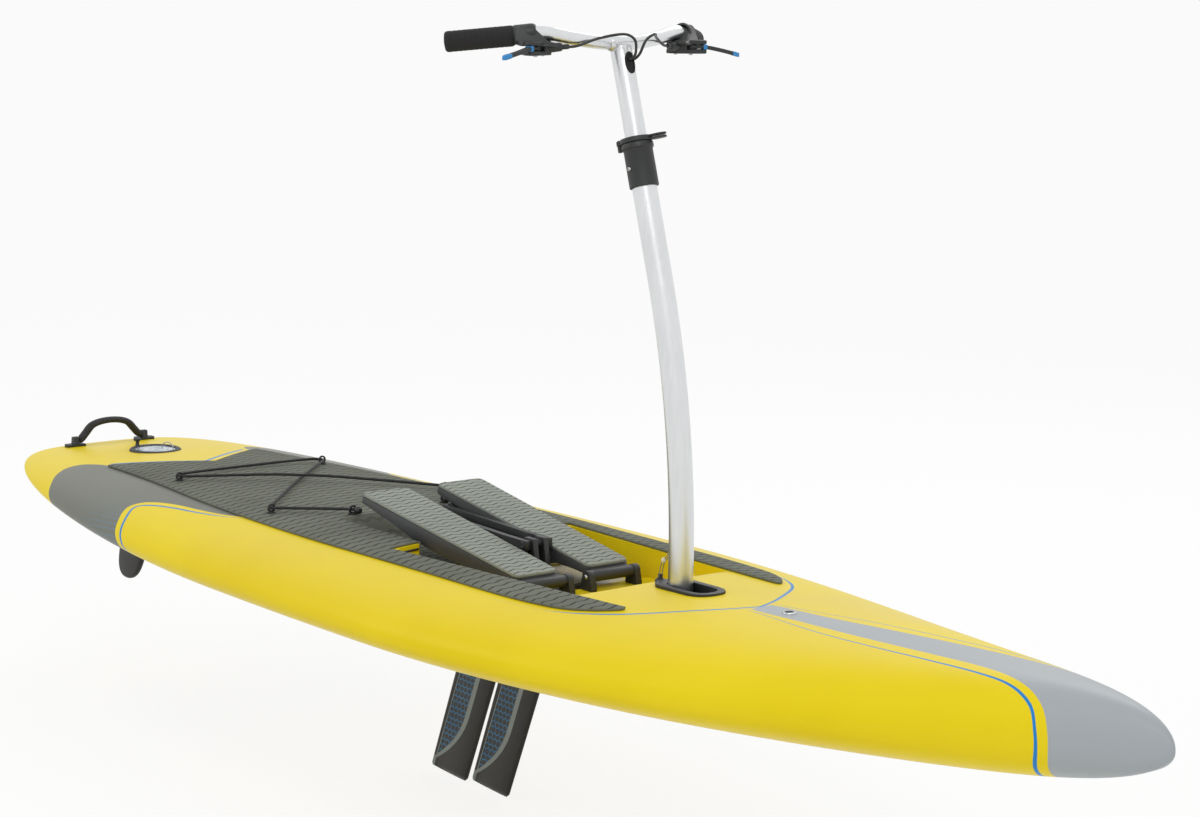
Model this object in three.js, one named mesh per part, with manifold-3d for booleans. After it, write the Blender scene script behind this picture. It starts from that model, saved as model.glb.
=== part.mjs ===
// Stand-up pedal board: a rigid foam-cored hull with a deck well, two step pedals that swing a pair of
// fins below the hull, a raked and curved steering mast with a swept handlebar, and a rudder at the stern.
// Millimetres, +X to the bow, +Y to port, +Z up. The origin is on the flat bottom panel of the hull,
// on the centreline, straight below the foot of the mast.

import * as THREE from 'three';
import { mergeVertices } from 'three/addons/utils/BufferGeometryUtils.js';
import Module from 'manifold-3d';

const wasm = await Module();
wasm.setup();

// ---------------------------------------------------------------- driving dimensions

const GAP = 0.3; // clearance between two pieces that touch

// hull
const HULL_LENGTH = 3200;
const BOW_X = 1130; // bow tip, ahead of the mast foot
const HALF_BEAM = 441;
const BEAM_X = -410; // station of the widest section
const HULL_DEPTH = 160; // bottom panel to deck, amidships
const NOSE_HALF_WIDTH = 35;
const BOW_FULLNESS = 1.3; // lower is fuller
const STERN_FULLNESS = 0.269;
const BOW_ROCKER = 45;
const STERN_ROCKER = 112;
const FLAT_SHARE = 0.32; // share of each half of the hull whose bottom panel is level
const BOW_SHEER = 62;
const STERN_DROP = 25;
const RAIL_HEIGHT_SHARE = 0.42; // height of the widest line of a section
const SECTION_POWER = 2.25; // squareness of a section
const PANEL_SHARE = 1.06; // over 1 it planes the bottom flat
const BOW_END_POWER = 9;
const STERN_END_POWER = 13;
const HULL_RINGS = 38;
const RING_SIDES = 28;

// pedal well in the deck
const WELL_REAR_X = -585;
const WELL_FRONT_X = -60; // where the front ramp meets the deck
const WELL_FLOOR_Z = 88;
const WELL_REAR_HALF = 208;
const WELL_FRONT_HALF = 172;
const WELL_CORNER = 26;
const SHELF_X = -325; // rear edge of the raised shelf that carries the pedal hinges
const SHELF_Z = 98;
const RAMP_X = -250;
const TROUGH_REAR_X = -800; // the trough behind the well gives the pedals room to go down
const TROUGH_Z = 104;
const TROUGH_HALF = 152;
const TROUGH_RAMP = 62;

// slot for the drive, and the shallow tunnel under it that the fin roots swing in
const SLOT_REAR_X = -548;
const SLOT_FRONT_X = -309;
const SLOT_HALF = 40;
const TUNNEL_REAR_X = -640;
const TUNNEL_HALF = 66;
const TUNNEL_HEIGHT = 30;

// deck pad
const PAD_THICK = 5;
const PAD_NOTCH_X = -1565;
const PAD_WELL_MARGIN = 7;
const PAD_TIP_X = 50;
const PAD_TIP_HALF = 175;
const PAD_TIP_WIDTH = 16;
const PAD_SIDE = [ // half width of the pad, from its aft corner to its forward tip
  [-1700, 190], [-1473, 209], [-1234, 235], [-984, 248], [-753, 256], [-537, 260],
  [-385, 262], [-160, 250], [-87, 235], [-20, 212], [PAD_TIP_X, PAD_TIP_HALF + PAD_TIP_WIDTH / 2],
];

// mast
const MAST_RADIUS = 22.5;
const MAST_WALL = 2.5;
const MAST_PIVOT_Z = 128;
const MAST_TAIL = 20; // tube below its pivot
const MAST_BEND_Z = 200; // the bend starts here
const MAST_BEND_RADIUS = 1750;
const MAST_RAKE = THREE.MathUtils.degToRad(17);
const MAST_STRAIGHT = 225; // raked straight length above the bend
const MAST_PIN_RADIUS = 5;

// mast socket
const SOCKET_SEAT_Z = 161;
const SOCKET_PLATE = 6.5;
const SOCKET_FLOOR_Z = 95;
const SOCKET_REAR_X = -32;
const SOCKET_FRONT_X = 84;
const SOCKET_CLEAR = 4.5; // beside the mast, so that it can fold forward
const SOCKET_HALF = MAST_RADIUS + SOCKET_CLEAR;
const SOCKET_WALL = 4;
const SOCKET_RIM = 9; // plate beyond the cup wall

// collar and clamp
const COLLAR_WALL = 4;
const COLLAR_RADIUS = MAST_RADIUS + COLLAR_WALL;
const COLLAR_LENGTH = 80;
const COLLAR_LIP = 14;
const COLLAR_RIM = 2.5;
const CLAMP_PIN_RADIUS = 3;
const CLAMP_LEVER_THICK = 9;

// telescoping upper tube and handlebar
const UPPER_CLEAR = 0.5; // sliding fit of the upper tube in the lower one
const UPPER_RADIUS = MAST_RADIUS - MAST_WALL - UPPER_CLEAR;
const UPPER_WALL = 2;
const UPPER_INSERT = 130; // length inside the lower tube
const UPPER_ABOVE = 182; // collar top to the handlebar's centre line
const BAR_RADIUS = 12.7;
const BAR_WALL = 2.2;
const BAR_END_Y = 284;
const GRIP_WALL = 5.8;
const GRIP_RADIUS = BAR_RADIUS + GRIP_WALL;
const GRIP_LENGTH = 116;
const GRIP_END = 4;

// steering levers
const LEVER_PIN_RADIUS = 3;
const LEVER_THICK = 8;
const LEVER_LENGTH = 62;
const CABLE_RADIUS = 2.5;

// pedals
const PEDAL_HINGE_X = -291;
const PEDAL_HINGE_Z = 124;
const PEDAL_LENGTH = 510;
const PEDAL_TILT = THREE.MathUtils.degToRad(9.3);
const PEDAL_INNER_Y = 35;
const PEDAL_FRONT_WIDTH = 100;
const PEDAL_REAR_WIDTH = 111;
const PEDAL_TOP = 10; // top of the moulded tray above the hinge axis
const PEDAL_PAD_THICK = 6;
const PEDAL_BELLY = 32; // depth of the skirt where it is deepest
const PEDAL_END_DEPTH = 12;
const PEDAL_SKIN = 5;
const HINGE_RADIUS = 11;
const HINGE_BOLT_RADIUS = 4;
const BRACKET_WIDTH = 13;
const BRACKET_OUTER_Y = 141;
const BRACKET_INNER_Y = 19;

// drive
const BASE_PLATE_THICK = 4;
const BASE_PLATE_HALF = 166;
const BASE_PLATE_REAR_X = -538;
const FLANGE_THICK = 5;
const SPINE_HALF = 16;
const SPINE_BOTTOM_Z = 72;
const FIN_AXIS_Z = 35;
const FIN_SHAFT_RADIUS = 6;
const HUB_RADIUS = 19;
const HUB_LENGTH = 36;
const CRANK_X = -420;
const CRANK_Z = 168;
const CRANK_SHAFT_RADIUS = 8;
const CRANK_LENGTH = 322;
const CRANK_ARM_WIDTH = 12;
const CRANK_ARM_Y = 20;
const ROLLER_RADIUS = 11;
const ROLLER_LENGTH = 40;
const ROLLER_CLEAR = 1.6;
const ROLLER_PIN_RADIUS = 4;
const LATCH_X = -528;
const LATCH_Y = 96;
const LATCH_PIN_RADIUS = 3;
const LATCH_LENGTH = 92;
const LATCH_WIDTH = 16;
const LATCH_THICK = 6;

// fins
const FIN_LEAN = THREE.MathUtils.degToRad(22);
const FIN_ROOT_Z = -4;
const FIN_TIP_Z = -347;
const FIN_ROOT_CHORD = 130;
const FIN_TIP_CHORD = 122;
const FIN_THICK = 15;
const FRONT_FIN_X = -354; // leading edge at the height of the bottom panel
const FIN_SPACING = 135;
const FIN_ROD_RADIUS = 4.5;
const FIN_ROD_SET_BACK = 13;
const FIN_ROD_LENGTH = 300;

// rudder and hatch
const RUDDER_X = -1820;
const RUDDER_TIP_Z = -177;
const RUDDER_CHORD = 136;
const RUDDER_THICK = 13;
const STOCK_RADIUS = 8;
const DRUM_RADIUS = 30;
const HATCH_RADIUS = 58;
const HATCH_BORE = 46;
const HATCH_SEAT_DROP = 5;
const HATCH_RING_HEIGHT = 9;
const HATCH_LENS_THICK = 4;
const HATCH_BORE_Z = 104;

// stern handle and bungee
const HANDLE_X = -2025;
const HANDLE_HALF = 104;
const HANDLE_RISE = 50;
const HANDLE_RADIUS = 8;
const BUNGEE_RADIUS = 3;
const EYE_RING = 9;
const BALL_RADIUS = 8;
const VENT_X = 285;

// ---------------------------------------------------------------- finishes

function finish(color, roughness, metalness = 0) {
  return new THREE.MeshStandardMaterial({ color, roughness, metalness });
}

const YELLOW_SHELL = finish(0xe8cf2a, 0.3);
const GREY_FOAM = finish(0x8c978b, 0.85);
const BLACK_NYLON = finish(0x1b1c1d, 0.55);
const CHARCOAL_NYLON = finish(0x3a3c3d, 0.6);
const BLACK_RUBBER = finish(0x161616, 0.8);
const CREAM_PLASTIC = finish(0xdad6c4, 0.45);
const CLEAR_PLASTIC = finish(0xb9c0c4, 0.15);
const ANODISED = finish(0xc9ccd0, 0.35, 0.9);
const STEEL = finish(0xb4b6b8, 0.3, 1);

// ---------------------------------------------------------------- making solids

// A closed three.js geometry as a solid, with only its positions kept and its vertices shared.
function solid(geometry) {
  const bare = geometry.clone();
  bare.deleteAttribute('normal');
  bare.deleteAttribute('uv');
  const merged = mergeVertices(bare, 1e-3);
  const mesh = new wasm.Mesh({
    numProp: 3,
    vertProperties: new Float32Array(merged.attributes.position.array),
    triVerts: new Uint32Array(merged.index.array),
  });
  return new wasm.Manifold(mesh);
}

function geometryOf(body) {
  const mesh = body.getMesh();
  const geometry = new THREE.BufferGeometry();
  geometry.setAttribute('position', new THREE.BufferAttribute(mesh.vertProperties, 3));
  geometry.setIndex(new THREE.BufferAttribute(mesh.triVerts, 1));
  geometry.computeVertexNormals();
  return geometry;
}

function join(first, ...others) {
  return others.reduce((sum, other) => sum.add(other), first);
}

function cut(first, ...others) {
  return others.reduce((rest, other) => rest.subtract(other), first);
}

function box(x0, x1, y0, y1, z0, z1) {
  const geometry = new THREE.BoxGeometry(x1 - x0, y1 - y0, z1 - z0);
  geometry.translate((x0 + x1) / 2, (y0 + y1) / 2, (z0 + z1) / 2);
  return solid(geometry);
}

// A round bar from one point to another.
function bar(from, to, radius, sides = 16) {
  const line = new THREE.Vector3().subVectors(to, from);
  const geometry = new THREE.CylinderGeometry(radius, radius, line.length(), sides);
  const turn = new THREE.Quaternion().setFromUnitVectors(vec(0, 1, 0), line.clone().normalize());
  geometry.applyQuaternion(turn);
  geometry.translate((from.x + to.x) / 2, (from.y + to.y) / 2, (from.z + to.z) / 2);
  return solid(geometry);
}

const vec = (x, y, z) => new THREE.Vector3(x, y, z);

// A plan outline raised from z0 to z1.
function prism(shape, z0, z1, curveSegments = 4) {
  const geometry = new THREE.ExtrudeGeometry(shape, { depth: z1 - z0, bevelEnabled: false, curveSegments });
  geometry.translate(0, 0, z0);
  return solid(geometry);
}

// A side outline, drawn in X and Z, given width from y0 to y1.
function slab(shape, y0, y1, curveSegments = 6) {
  const geometry = new THREE.ExtrudeGeometry(shape, { depth: y1 - y0, bevelEnabled: false, curveSegments });
  geometry.applyMatrix4(new THREE.Matrix4().makeBasis(vec(1, 0, 0), vec(0, 0, 1), vec(0, -1, 0)));
  geometry.translate(0, y1, 0);
  return solid(geometry);
}

function outline(points) {
  return new THREE.Shape(points.map(([x, y]) => new THREE.Vector2(x, y)));
}

// A rounded outline of straight sides: each corner is an arc-like curve of the given reach.
function roundedOutline(points, reach) {
  const shape = new THREE.Shape();
  const count = points.length;
  points.forEach((point, index) => {
    const corner = new THREE.Vector2(...point);
    const before = new THREE.Vector2(...points[(index + count - 1) % count]);
    const after = new THREE.Vector2(...points[(index + 1) % count]);
    const limit = Math.min(reach, corner.distanceTo(before) / 2.01, corner.distanceTo(after) / 2.01);
    const start = corner.clone().add(before.sub(corner).setLength(limit));
    const end = corner.clone().add(after.sub(corner).setLength(limit));
    if (index === 0) shape.moveTo(start.x, start.y);
    else shape.lineTo(start.x, start.y);
    shape.quadraticCurveTo(corner.x, corner.y, end.x, end.y);
  });
  shape.closePath();
  return shape;
}

function circleShape(radius) {
  const shape = new THREE.Shape();
  shape.absarc(0, 0, radius, 0, Math.PI * 2, false);
  return shape;
}

// A round solid that follows a curve.
function tube(curve, radius, steps, sides = 12) {
  const options = { steps, extrudePath: curve, bevelEnabled: false, curveSegments: sides / 2 };
  return solid(new THREE.ExtrudeGeometry(circleShape(radius), options));
}

function smoothCurve(points) {
  return new THREE.CatmullRomCurve3(points.map((p) => vec(...p)), false, 'centripetal');
}

// A turned solid about a vertical axis through (x, y).
function turned(profile, x, y, sides) {
  const points = profile.map(([radius, z]) => new THREE.Vector2(radius, z));
  const geometry = new THREE.LatheGeometry(points, sides);
  geometry.applyMatrix4(new THREE.Matrix4().makeBasis(vec(1, 0, 0), vec(0, 0, 1), vec(0, -1, 0)));
  geometry.translate(x, y, 0);
  return solid(geometry);
}

// ---------------------------------------------------------------- the model

const board = new THREE.Group();

function addPiece(name, body, material) {
  const mesh = new THREE.Mesh(geometryOf(body), material);
  mesh.name = name;
  board.add(mesh);
}

// The same piece on the port side: Y turned over, and each triangle wound the other way.
function mirrorY(body) {
  const geometry = geometryOf(body);
  const position = geometry.attributes.position;
  for (let i = 0; i < position.count; i += 1) {
    position.setY(i, -position.getY(i));
  }
  const index = geometry.index.array;
  for (let i = 0; i < index.length; i += 3) {
    const first = index[i];
    index[i] = index[i + 1];
    index[i + 1] = first;
  }
  return solid(geometry);
}

function addPair(name, body, material) {
  addPiece(`${name}_s`, body, material);
  addPiece(`${name}_p`, mirrorY(body), material);
}

// ---- hull surface

const MID_X = BOW_X - HULL_LENGTH / 2;
const STERN_X = BOW_X - HULL_LENGTH;

function hullSection(x) {
  const bow = THREE.MathUtils.clamp((x - BEAM_X) / (BOW_X - BEAM_X), 0, 1);
  const stern = THREE.MathUtils.clamp((BEAM_X - x) / (BEAM_X - STERN_X), 0, 1);
  const bowHalf = (HALF_BEAM - NOSE_HALF_WIDTH) * (1 - bow ** 2) ** BOW_FULLNESS
    + NOSE_HALF_WIDTH * Math.sqrt(1 - bow ** 12);
  const sternHalf = HALF_BEAM * (1 - stern ** 2) ** STERN_FULLNESS;
  const bowRise = BOW_ROCKER * Math.max(0, (bow - FLAT_SHARE) / (1 - FLAT_SHARE)) ** 2;
  const sternRise = STERN_ROCKER * Math.max(0, (stern - FLAT_SHARE) / (1 - FLAT_SHARE)) ** 2;
  const bottom = bowRise + sternRise;
  const deck = HULL_DEPTH + BOW_SHEER * bow ** 2.5 - STERN_DROP * stern ** 2.5;
  const endRound = Math.sqrt((1 - bow ** BOW_END_POWER) * (1 - stern ** STERN_END_POWER));
  const middle = bottom + RAIL_HEIGHT_SHARE * (deck - bottom);
  return { half: x > BEAM_X ? bowHalf : sternHalf, bottom, deck, middle, endRound };
}

function deckHeight(x, y) {
  const { half, deck, middle, endRound } = hullSection(x);
  const share = (1 - (Math.abs(y) / half) ** SECTION_POWER) ** (1 / SECTION_POWER);
  return middle + (deck - middle) * endRound * share;
}

function bottomHeight(x) {
  const { bottom, middle, endRound } = hullSection(x);
  return middle - (middle - bottom) * endRound;
}

// The shell is a ball whose poles are the two ends: each ring of it is laid on one section.
function hullLoft() {
  const geometry = new THREE.SphereGeometry(1, RING_SIDES, HULL_RINGS);
  const position = geometry.attributes.position;
  const squareness = 2 / SECTION_POWER;
  for (let i = 0; i < position.count; i += 1) {
    const along = THREE.MathUtils.clamp(position.getY(i), -1, 1);
    const x = MID_X + (along * HULL_LENGTH) / 2;
    const { half, bottom, deck, middle, endRound } = hullSection(x);
    const angle = Math.atan2(position.getX(i), position.getZ(i));
    const isPole = Math.abs(along) > 0.99999;
    const across = isPole ? 0 : Math.sign(Math.cos(angle)) * Math.abs(Math.cos(angle)) ** squareness;
    const upward = isPole ? 0 : Math.sign(Math.sin(angle)) * Math.abs(Math.sin(angle)) ** squareness;
    const below = (middle - bottom) * Math.max(-1, PANEL_SHARE * upward);
    const reach = upward > 0 ? (deck - middle) * upward : below;
    position.setXYZ(i, x, half * across, middle + reach * endRound);
  }
  return solid(geometry);
}

function wellCutter() {
  const side = outline([
    [WELL_REAR_X, WELL_FLOOR_Z],
    [SHELF_X, WELL_FLOOR_Z],
    [SHELF_X + 7, SHELF_Z],
    [RAMP_X, SHELF_Z],
    [WELL_FRONT_X, HULL_DEPTH],
    [WELL_FRONT_X, HULL_DEPTH + 60],
    [WELL_REAR_X, HULL_DEPTH + 60],
  ]);
  const plan = roundedOutline(wellPlan(0), WELL_CORNER);
  return slab(side, -WELL_REAR_HALF, WELL_REAR_HALF).intersect(prism(plan, 0, HULL_DEPTH + 80));
}

function wellPlan(margin) {
  return [
    [WELL_REAR_X - margin, -WELL_REAR_HALF - margin],
    [WELL_FRONT_X + margin, -WELL_FRONT_HALF - margin],
    [WELL_FRONT_X + margin, WELL_FRONT_HALF + margin],
    [WELL_REAR_X - margin, WELL_REAR_HALF + margin],
  ];
}

function troughCutter(margin) {
  const side = outline([
    [WELL_REAR_X + 40, TROUGH_Z],
    [TROUGH_REAR_X - margin, TROUGH_Z],
    [TROUGH_REAR_X - margin - TROUGH_RAMP, HULL_DEPTH + 10],
    [TROUGH_REAR_X - margin - TROUGH_RAMP, HULL_DEPTH + 60],
    [WELL_REAR_X + 40, HULL_DEPTH + 60],
  ].reverse());
  return slab(side, -TROUGH_HALF - margin, TROUGH_HALF + margin);
}

const socketPlan = (margin) => roundedOutline([
  [SOCKET_REAR_X - margin, -SOCKET_HALF - margin],
  [SOCKET_FRONT_X + margin, -SOCKET_HALF - margin],
  [SOCKET_FRONT_X + margin, SOCKET_HALF + margin],
  [SOCKET_REAR_X - margin, SOCKET_HALF + margin],
], SOCKET_HALF + margin);

const HATCH_SEAT_Z = deckHeight(RUDDER_X, 0) - HATCH_SEAT_DROP;
const loft = hullLoft();

function hull() {
  const above = HULL_DEPTH + 60;
  return cut(
    loft,
    wellCutter(),
    troughCutter(0),
    box(SLOT_REAR_X, SLOT_FRONT_X, -SLOT_HALF, SLOT_HALF, -10, SHELF_Z + 5),
    box(TUNNEL_REAR_X, SLOT_FRONT_X, -TUNNEL_HALF, TUNNEL_HALF, -10, TUNNEL_HEIGHT),
    prism(socketPlan(SOCKET_WALL + GAP), SOCKET_FLOOR_Z - SOCKET_WALL - GAP, above),
    prism(socketPlan(SOCKET_WALL + SOCKET_RIM + GAP), SOCKET_SEAT_Z, above),
    bar(vec(RUDDER_X, 0, HATCH_BORE_Z), vec(RUDDER_X, 0, above), HATCH_BORE, 36),
    bar(vec(RUDDER_X, 0, HATCH_SEAT_Z), vec(RUDDER_X, 0, above), HATCH_RADIUS + GAP, 36),
    bar(vec(RUDDER_X, 0, 0), vec(RUDDER_X, 0, above), STOCK_RADIUS + GAP, 20),
  );
}

// ---- deck pad: a skin of even thickness on the deck, split round the well

function padOutline() {
  const onSide = (side) => ([x, half]) => new THREE.Vector2(x, side * half);
  const shape = new THREE.Shape();
  shape.moveTo(PAD_NOTCH_X, 0);
  shape.lineTo(PAD_SIDE[0][0], -PAD_SIDE[0][1]);
  shape.splineThru(PAD_SIDE.slice(1).map(onSide(-1)));
  shape.lineTo(PAD_TIP_X, PAD_TIP_HALF);
  shape.splineThru([...PAD_SIDE].reverse().map(onSide(1)));
  shape.closePath();
  return shape;
}

function deckPad() {
  const skin = cut(
    loft.translate([0, 0, PAD_THICK + GAP]),
    loft.translate([0, 0, GAP]),
  );
  const rear = WELL_REAR_X - PAD_WELL_MARGIN;
  const opening = outline([
    [rear, -WELL_REAR_HALF - PAD_WELL_MARGIN],
    [WELL_FRONT_X, -WELL_FRONT_HALF - PAD_WELL_MARGIN],
    [PAD_TIP_X + 5, -PAD_TIP_HALF + PAD_TIP_WIDTH / 2],
    [PAD_TIP_X + 5, PAD_TIP_HALF - PAD_TIP_WIDTH / 2],
    [WELL_FRONT_X, WELL_FRONT_HALF + PAD_WELL_MARGIN],
    [rear, WELL_REAR_HALF + PAD_WELL_MARGIN],
  ]);
  return cut(
    skin.intersect(prism(padOutline(), HULL_DEPTH - 60, HULL_DEPTH + 40, 6)),
    prism(opening, 0, 300),
    troughCutter(6),
  );
}

addPiece('hull', hull(), YELLOW_SHELL);
addPiece('deck_pad', deckPad(), GREY_FOAM);

// ---- small deck fittings

// A fitting's foot, cut to lie on the hull or on the pad at the given lift.
function seated(body, lift) {
  return body.subtract(loft.translate([0, 0, lift]));
}

function bowVent() {
  const z = deckHeight(VENT_X, 0);
  const body = turned([[0, z - 5], [13, z - 5], [13, z + 3], [9, z + 5], [0, z + 5]], VENT_X, 0, 24);
  return cut(seated(body, GAP), box(VENT_X - 6, VENT_X + 6, -1, 1, z + 3.5, z + 7));
}
addPiece('bow_vent', bowVent(), STEEL);

// ---- mast socket, pin and tubes

// Point and direction on the mast's centre line, by height of bend and length of straight.
const BEND_TOP = vec(
  -MAST_BEND_RADIUS * (1 - Math.cos(MAST_RAKE)),
  0,
  MAST_BEND_Z + MAST_BEND_RADIUS * Math.sin(MAST_RAKE),
);
const RAKE = vec(-Math.sin(MAST_RAKE), 0, Math.cos(MAST_RAKE));
const RAKE_FORWARD = vec(Math.cos(MAST_RAKE), 0, Math.sin(MAST_RAKE));
const COLLAR_TOP = BEND_TOP.clone().addScaledVector(RAKE, MAST_STRAIGHT + COLLAR_LIP + GAP);
const BAR_CENTRE = COLLAR_TOP.clone().addScaledVector(RAKE, UPPER_ABOVE);

// A place beside the raked tube: along it from the collar's top, forward of it, and to port of it.
function besideTube(along, forward, port) {
  const point = COLLAR_TOP.clone();
  point.addScaledVector(RAKE, along);
  point.addScaledVector(RAKE_FORWARD, forward);
  point.y += port;
  return point;
}

class MastLine extends THREE.Curve {
  constructor(top) {
    super();
    this.top = top;
  }

  getPoint(t, target = vec(0, 0, 0)) {
    const foot = MAST_BEND_Z - (MAST_PIVOT_Z - MAST_TAIL);
    const arc = MAST_BEND_RADIUS * MAST_RAKE;
    const length = t * (foot + arc + this.top);
    if (length < foot) return target.set(0, 0, MAST_PIVOT_Z - MAST_TAIL + length);
    if (length < foot + arc) {
      const angle = (length - foot) / MAST_BEND_RADIUS;
      const x = -MAST_BEND_RADIUS * (1 - Math.cos(angle));
      return target.set(x, 0, MAST_BEND_Z + MAST_BEND_RADIUS * Math.sin(angle));
    }
    return target.copy(BEND_TOP).addScaledVector(RAKE, length - foot - arc);
  }
}

function mastLower() {
  const line = new MastLine(MAST_STRAIGHT);
  const longer = new MastLine(MAST_STRAIGHT + 1);
  const bore = tube(longer, MAST_RADIUS - MAST_WALL, 14, 18);
  const pinHole = bar(vec(0, -40, MAST_PIVOT_Z), vec(0, 40, MAST_PIVOT_Z), MAST_PIN_RADIUS + GAP);
  const foot = bar(vec(0, 0, 0), vec(0, 0, MAST_PIVOT_Z), MAST_RADIUS - MAST_WALL);
  return cut(tube(line, MAST_RADIUS, 14, 18), bore, foot, pinHole);
}

function mastSocket() {
  const cup = prism(socketPlan(SOCKET_WALL), SOCKET_FLOOR_Z - SOCKET_WALL, SOCKET_SEAT_Z + 1);
  const plateTop = SOCKET_SEAT_Z + GAP + SOCKET_PLATE;
  const plate = prism(socketPlan(SOCKET_WALL + SOCKET_RIM), SOCKET_SEAT_Z + GAP, plateTop);
  const room = prism(socketPlan(0), SOCKET_FLOOR_Z, plateTop + 1);
  const slot = prism(
    roundedOutline([
      [-MAST_RADIUS - 1, -MAST_RADIUS - 1], [SOCKET_FRONT_X, -MAST_RADIUS - 1],
      [SOCKET_FRONT_X, MAST_RADIUS + 1], [-MAST_RADIUS - 1, MAST_RADIUS + 1],
    ], MAST_RADIUS + 1),
    SOCKET_FLOOR_Z,
    plateTop + 1,
  );
  const rearLedge = cut(
    prism(socketPlan(SOCKET_WALL), SOCKET_SEAT_Z + GAP, plateTop),
    slot,
    box(0, 200, -100, 100, 0, 300),
  );
  const holeHalf = SOCKET_HALF + SOCKET_WALL + 5;
  const hole = bar(vec(0, -holeHalf, MAST_PIVOT_Z), vec(0, holeHalf, MAST_PIVOT_Z), MAST_PIN_RADIUS + GAP);
  return cut(join(cup, plate), room).add(rearLedge).subtract(hole);
}

const PIN_HALF = SOCKET_HALF + SOCKET_WALL - 0.5;
addPiece('mast_socket', mastSocket(), BLACK_NYLON);
const MAST_PIN_ENDS = [-PIN_HALF, PIN_HALF].map((y) => vec(0, y, MAST_PIVOT_Z));
addPiece('mast_pin', bar(...MAST_PIN_ENDS, MAST_PIN_RADIUS), STEEL);
addPiece('mast_lower', mastLower(), ANODISED);

// ---- collar with its clamp lever

const CLAMP_EAR_ANGLE = THREE.MathUtils.degToRad(215); // from forward, towards port
const CLAMP_EAR_REACH = COLLAR_RADIUS + 6;

function clampPoint(along, reach, angle) {
  return besideTube(along, reach * Math.cos(angle), reach * Math.sin(angle));
}

function collar() {
  const outer = bar(besideTube(-COLLAR_LENGTH, 0, 0), besideTube(0, 0, 0), COLLAR_RADIUS, 20);
  const rim = bar(besideTube(-8, 0, 0), besideTube(0, 0, 0), COLLAR_RADIUS + COLLAR_RIM, 20);
  const ear = bar(
    clampPoint(-24, CLAMP_EAR_REACH, CLAMP_EAR_ANGLE),
    clampPoint(-12, CLAMP_EAR_REACH, CLAMP_EAR_ANGLE),
    7,
  );
  const lowerBore = bar(
    besideTube(-COLLAR_LENGTH - 1, 0, 0),
    besideTube(-COLLAR_LIP, 0, 0),
    MAST_RADIUS + GAP,
    28,
  );
  const upperBore = bar(besideTube(-COLLAR_LIP - 1, 0, 0), besideTube(1, 0, 0), UPPER_RADIUS + GAP, 20);
  const pin = bar(
    clampPoint(-20, CLAMP_EAR_REACH, CLAMP_EAR_ANGLE),
    clampPoint(CLAMP_LEVER_THICK + 1.5, CLAMP_EAR_REACH, CLAMP_EAR_ANGLE),
    CLAMP_PIN_RADIUS,
  );
  return join(cut(join(outer, rim, ear), lowerBore, upperBore), pin);
}

// The lever lies on the collar's rim, hugs the tube from the pivot round to the front, and ends in a fork.
function clampLever() {
  const shape = new THREE.Shape();
  const inner = UPPER_RADIUS + 3.5;
  const outer = COLLAR_RADIUS + 3.5;
  const start = CLAMP_EAR_ANGLE - 0.05;
  const end = THREE.MathUtils.degToRad(395);
  shape.absarc(0, 0, outer, start, end, false);
  shape.lineTo(44 * Math.cos(end + 0.22), 44 * Math.sin(end + 0.22));
  shape.lineTo(40 * Math.cos(end + 0.5), 40 * Math.sin(end + 0.5));
  shape.absarc(0, 0, inner, end + 0.1, start, true);
  shape.closePath();
  const frame = new THREE.Matrix4().makeBasis(RAKE_FORWARD, vec(0, 1, 0), RAKE);
  const geometry = new THREE.ExtrudeGeometry(shape, {
    depth: CLAMP_LEVER_THICK, bevelEnabled: false, curveSegments: 9,
  });
  geometry.translate(0, 0, GAP);
  geometry.applyMatrix4(frame);
  geometry.translate(COLLAR_TOP.x, COLLAR_TOP.y, COLLAR_TOP.z);
  const boss = bar(
    clampPoint(GAP, CLAMP_EAR_REACH, CLAMP_EAR_ANGLE),
    clampPoint(GAP + CLAMP_LEVER_THICK, CLAMP_EAR_REACH, CLAMP_EAR_ANGLE),
    7,
  );
  const pinHole = bar(
    clampPoint(-5, CLAMP_EAR_REACH, CLAMP_EAR_ANGLE),
    clampPoint(30, CLAMP_EAR_REACH, CLAMP_EAR_ANGLE),
    CLAMP_PIN_RADIUS + GAP,
  );
  const middle = GAP + CLAMP_LEVER_THICK / 2;
  const fork = bar(clampPoint(middle, 33, end + 0.3), clampPoint(middle, 60, end + 0.36), 1.6, 12);
  return cut(join(solid(geometry), boss), pinHole, fork);
}

addPiece('mast_collar', collar(), BLACK_NYLON);
addPiece('clamp_lever', clampLever(), BLACK_NYLON);

// ---- handlebar: dips at its middle, rises to the lever clamps, and sweeps back to the grips

const BAR_SIDE = [
  [-2, 45, 2], [-11, 100, 9], [-25, 145, 17], [-40, 183, 16], [-79, 228, 8], [-127, BAR_END_Y, 0],
];

function barPoints() {
  const offset = ([x, y, z]) => [BAR_CENTRE.x + x, y, BAR_CENTRE.z + z];
  const port = BAR_SIDE.map(offset);
  const starboard = BAR_SIDE.map(([x, y, z]) => offset([x, -y, z])).reverse();
  return [...starboard, [BAR_CENTRE.x, 0, BAR_CENTRE.z], ...port];
}

const BAR_LINE = smoothCurve(barPoints());
const BAR_STEPS = 26;

function handlebar() {
  const ends = BAR_LINE.points;
  const longer = smoothCurve([
    ends[0].clone().lerp(ends[1], -0.01).toArray(),
    ...ends.slice(1, -1).map((p) => p.toArray()),
    ends[ends.length - 1].clone().lerp(ends[ends.length - 2], -0.01).toArray(),
  ]);
  return cut(
    tube(BAR_LINE, BAR_RADIUS, BAR_STEPS, 12),
    tube(longer, BAR_RADIUS - BAR_WALL, BAR_STEPS, 8),
  );
}

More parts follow.
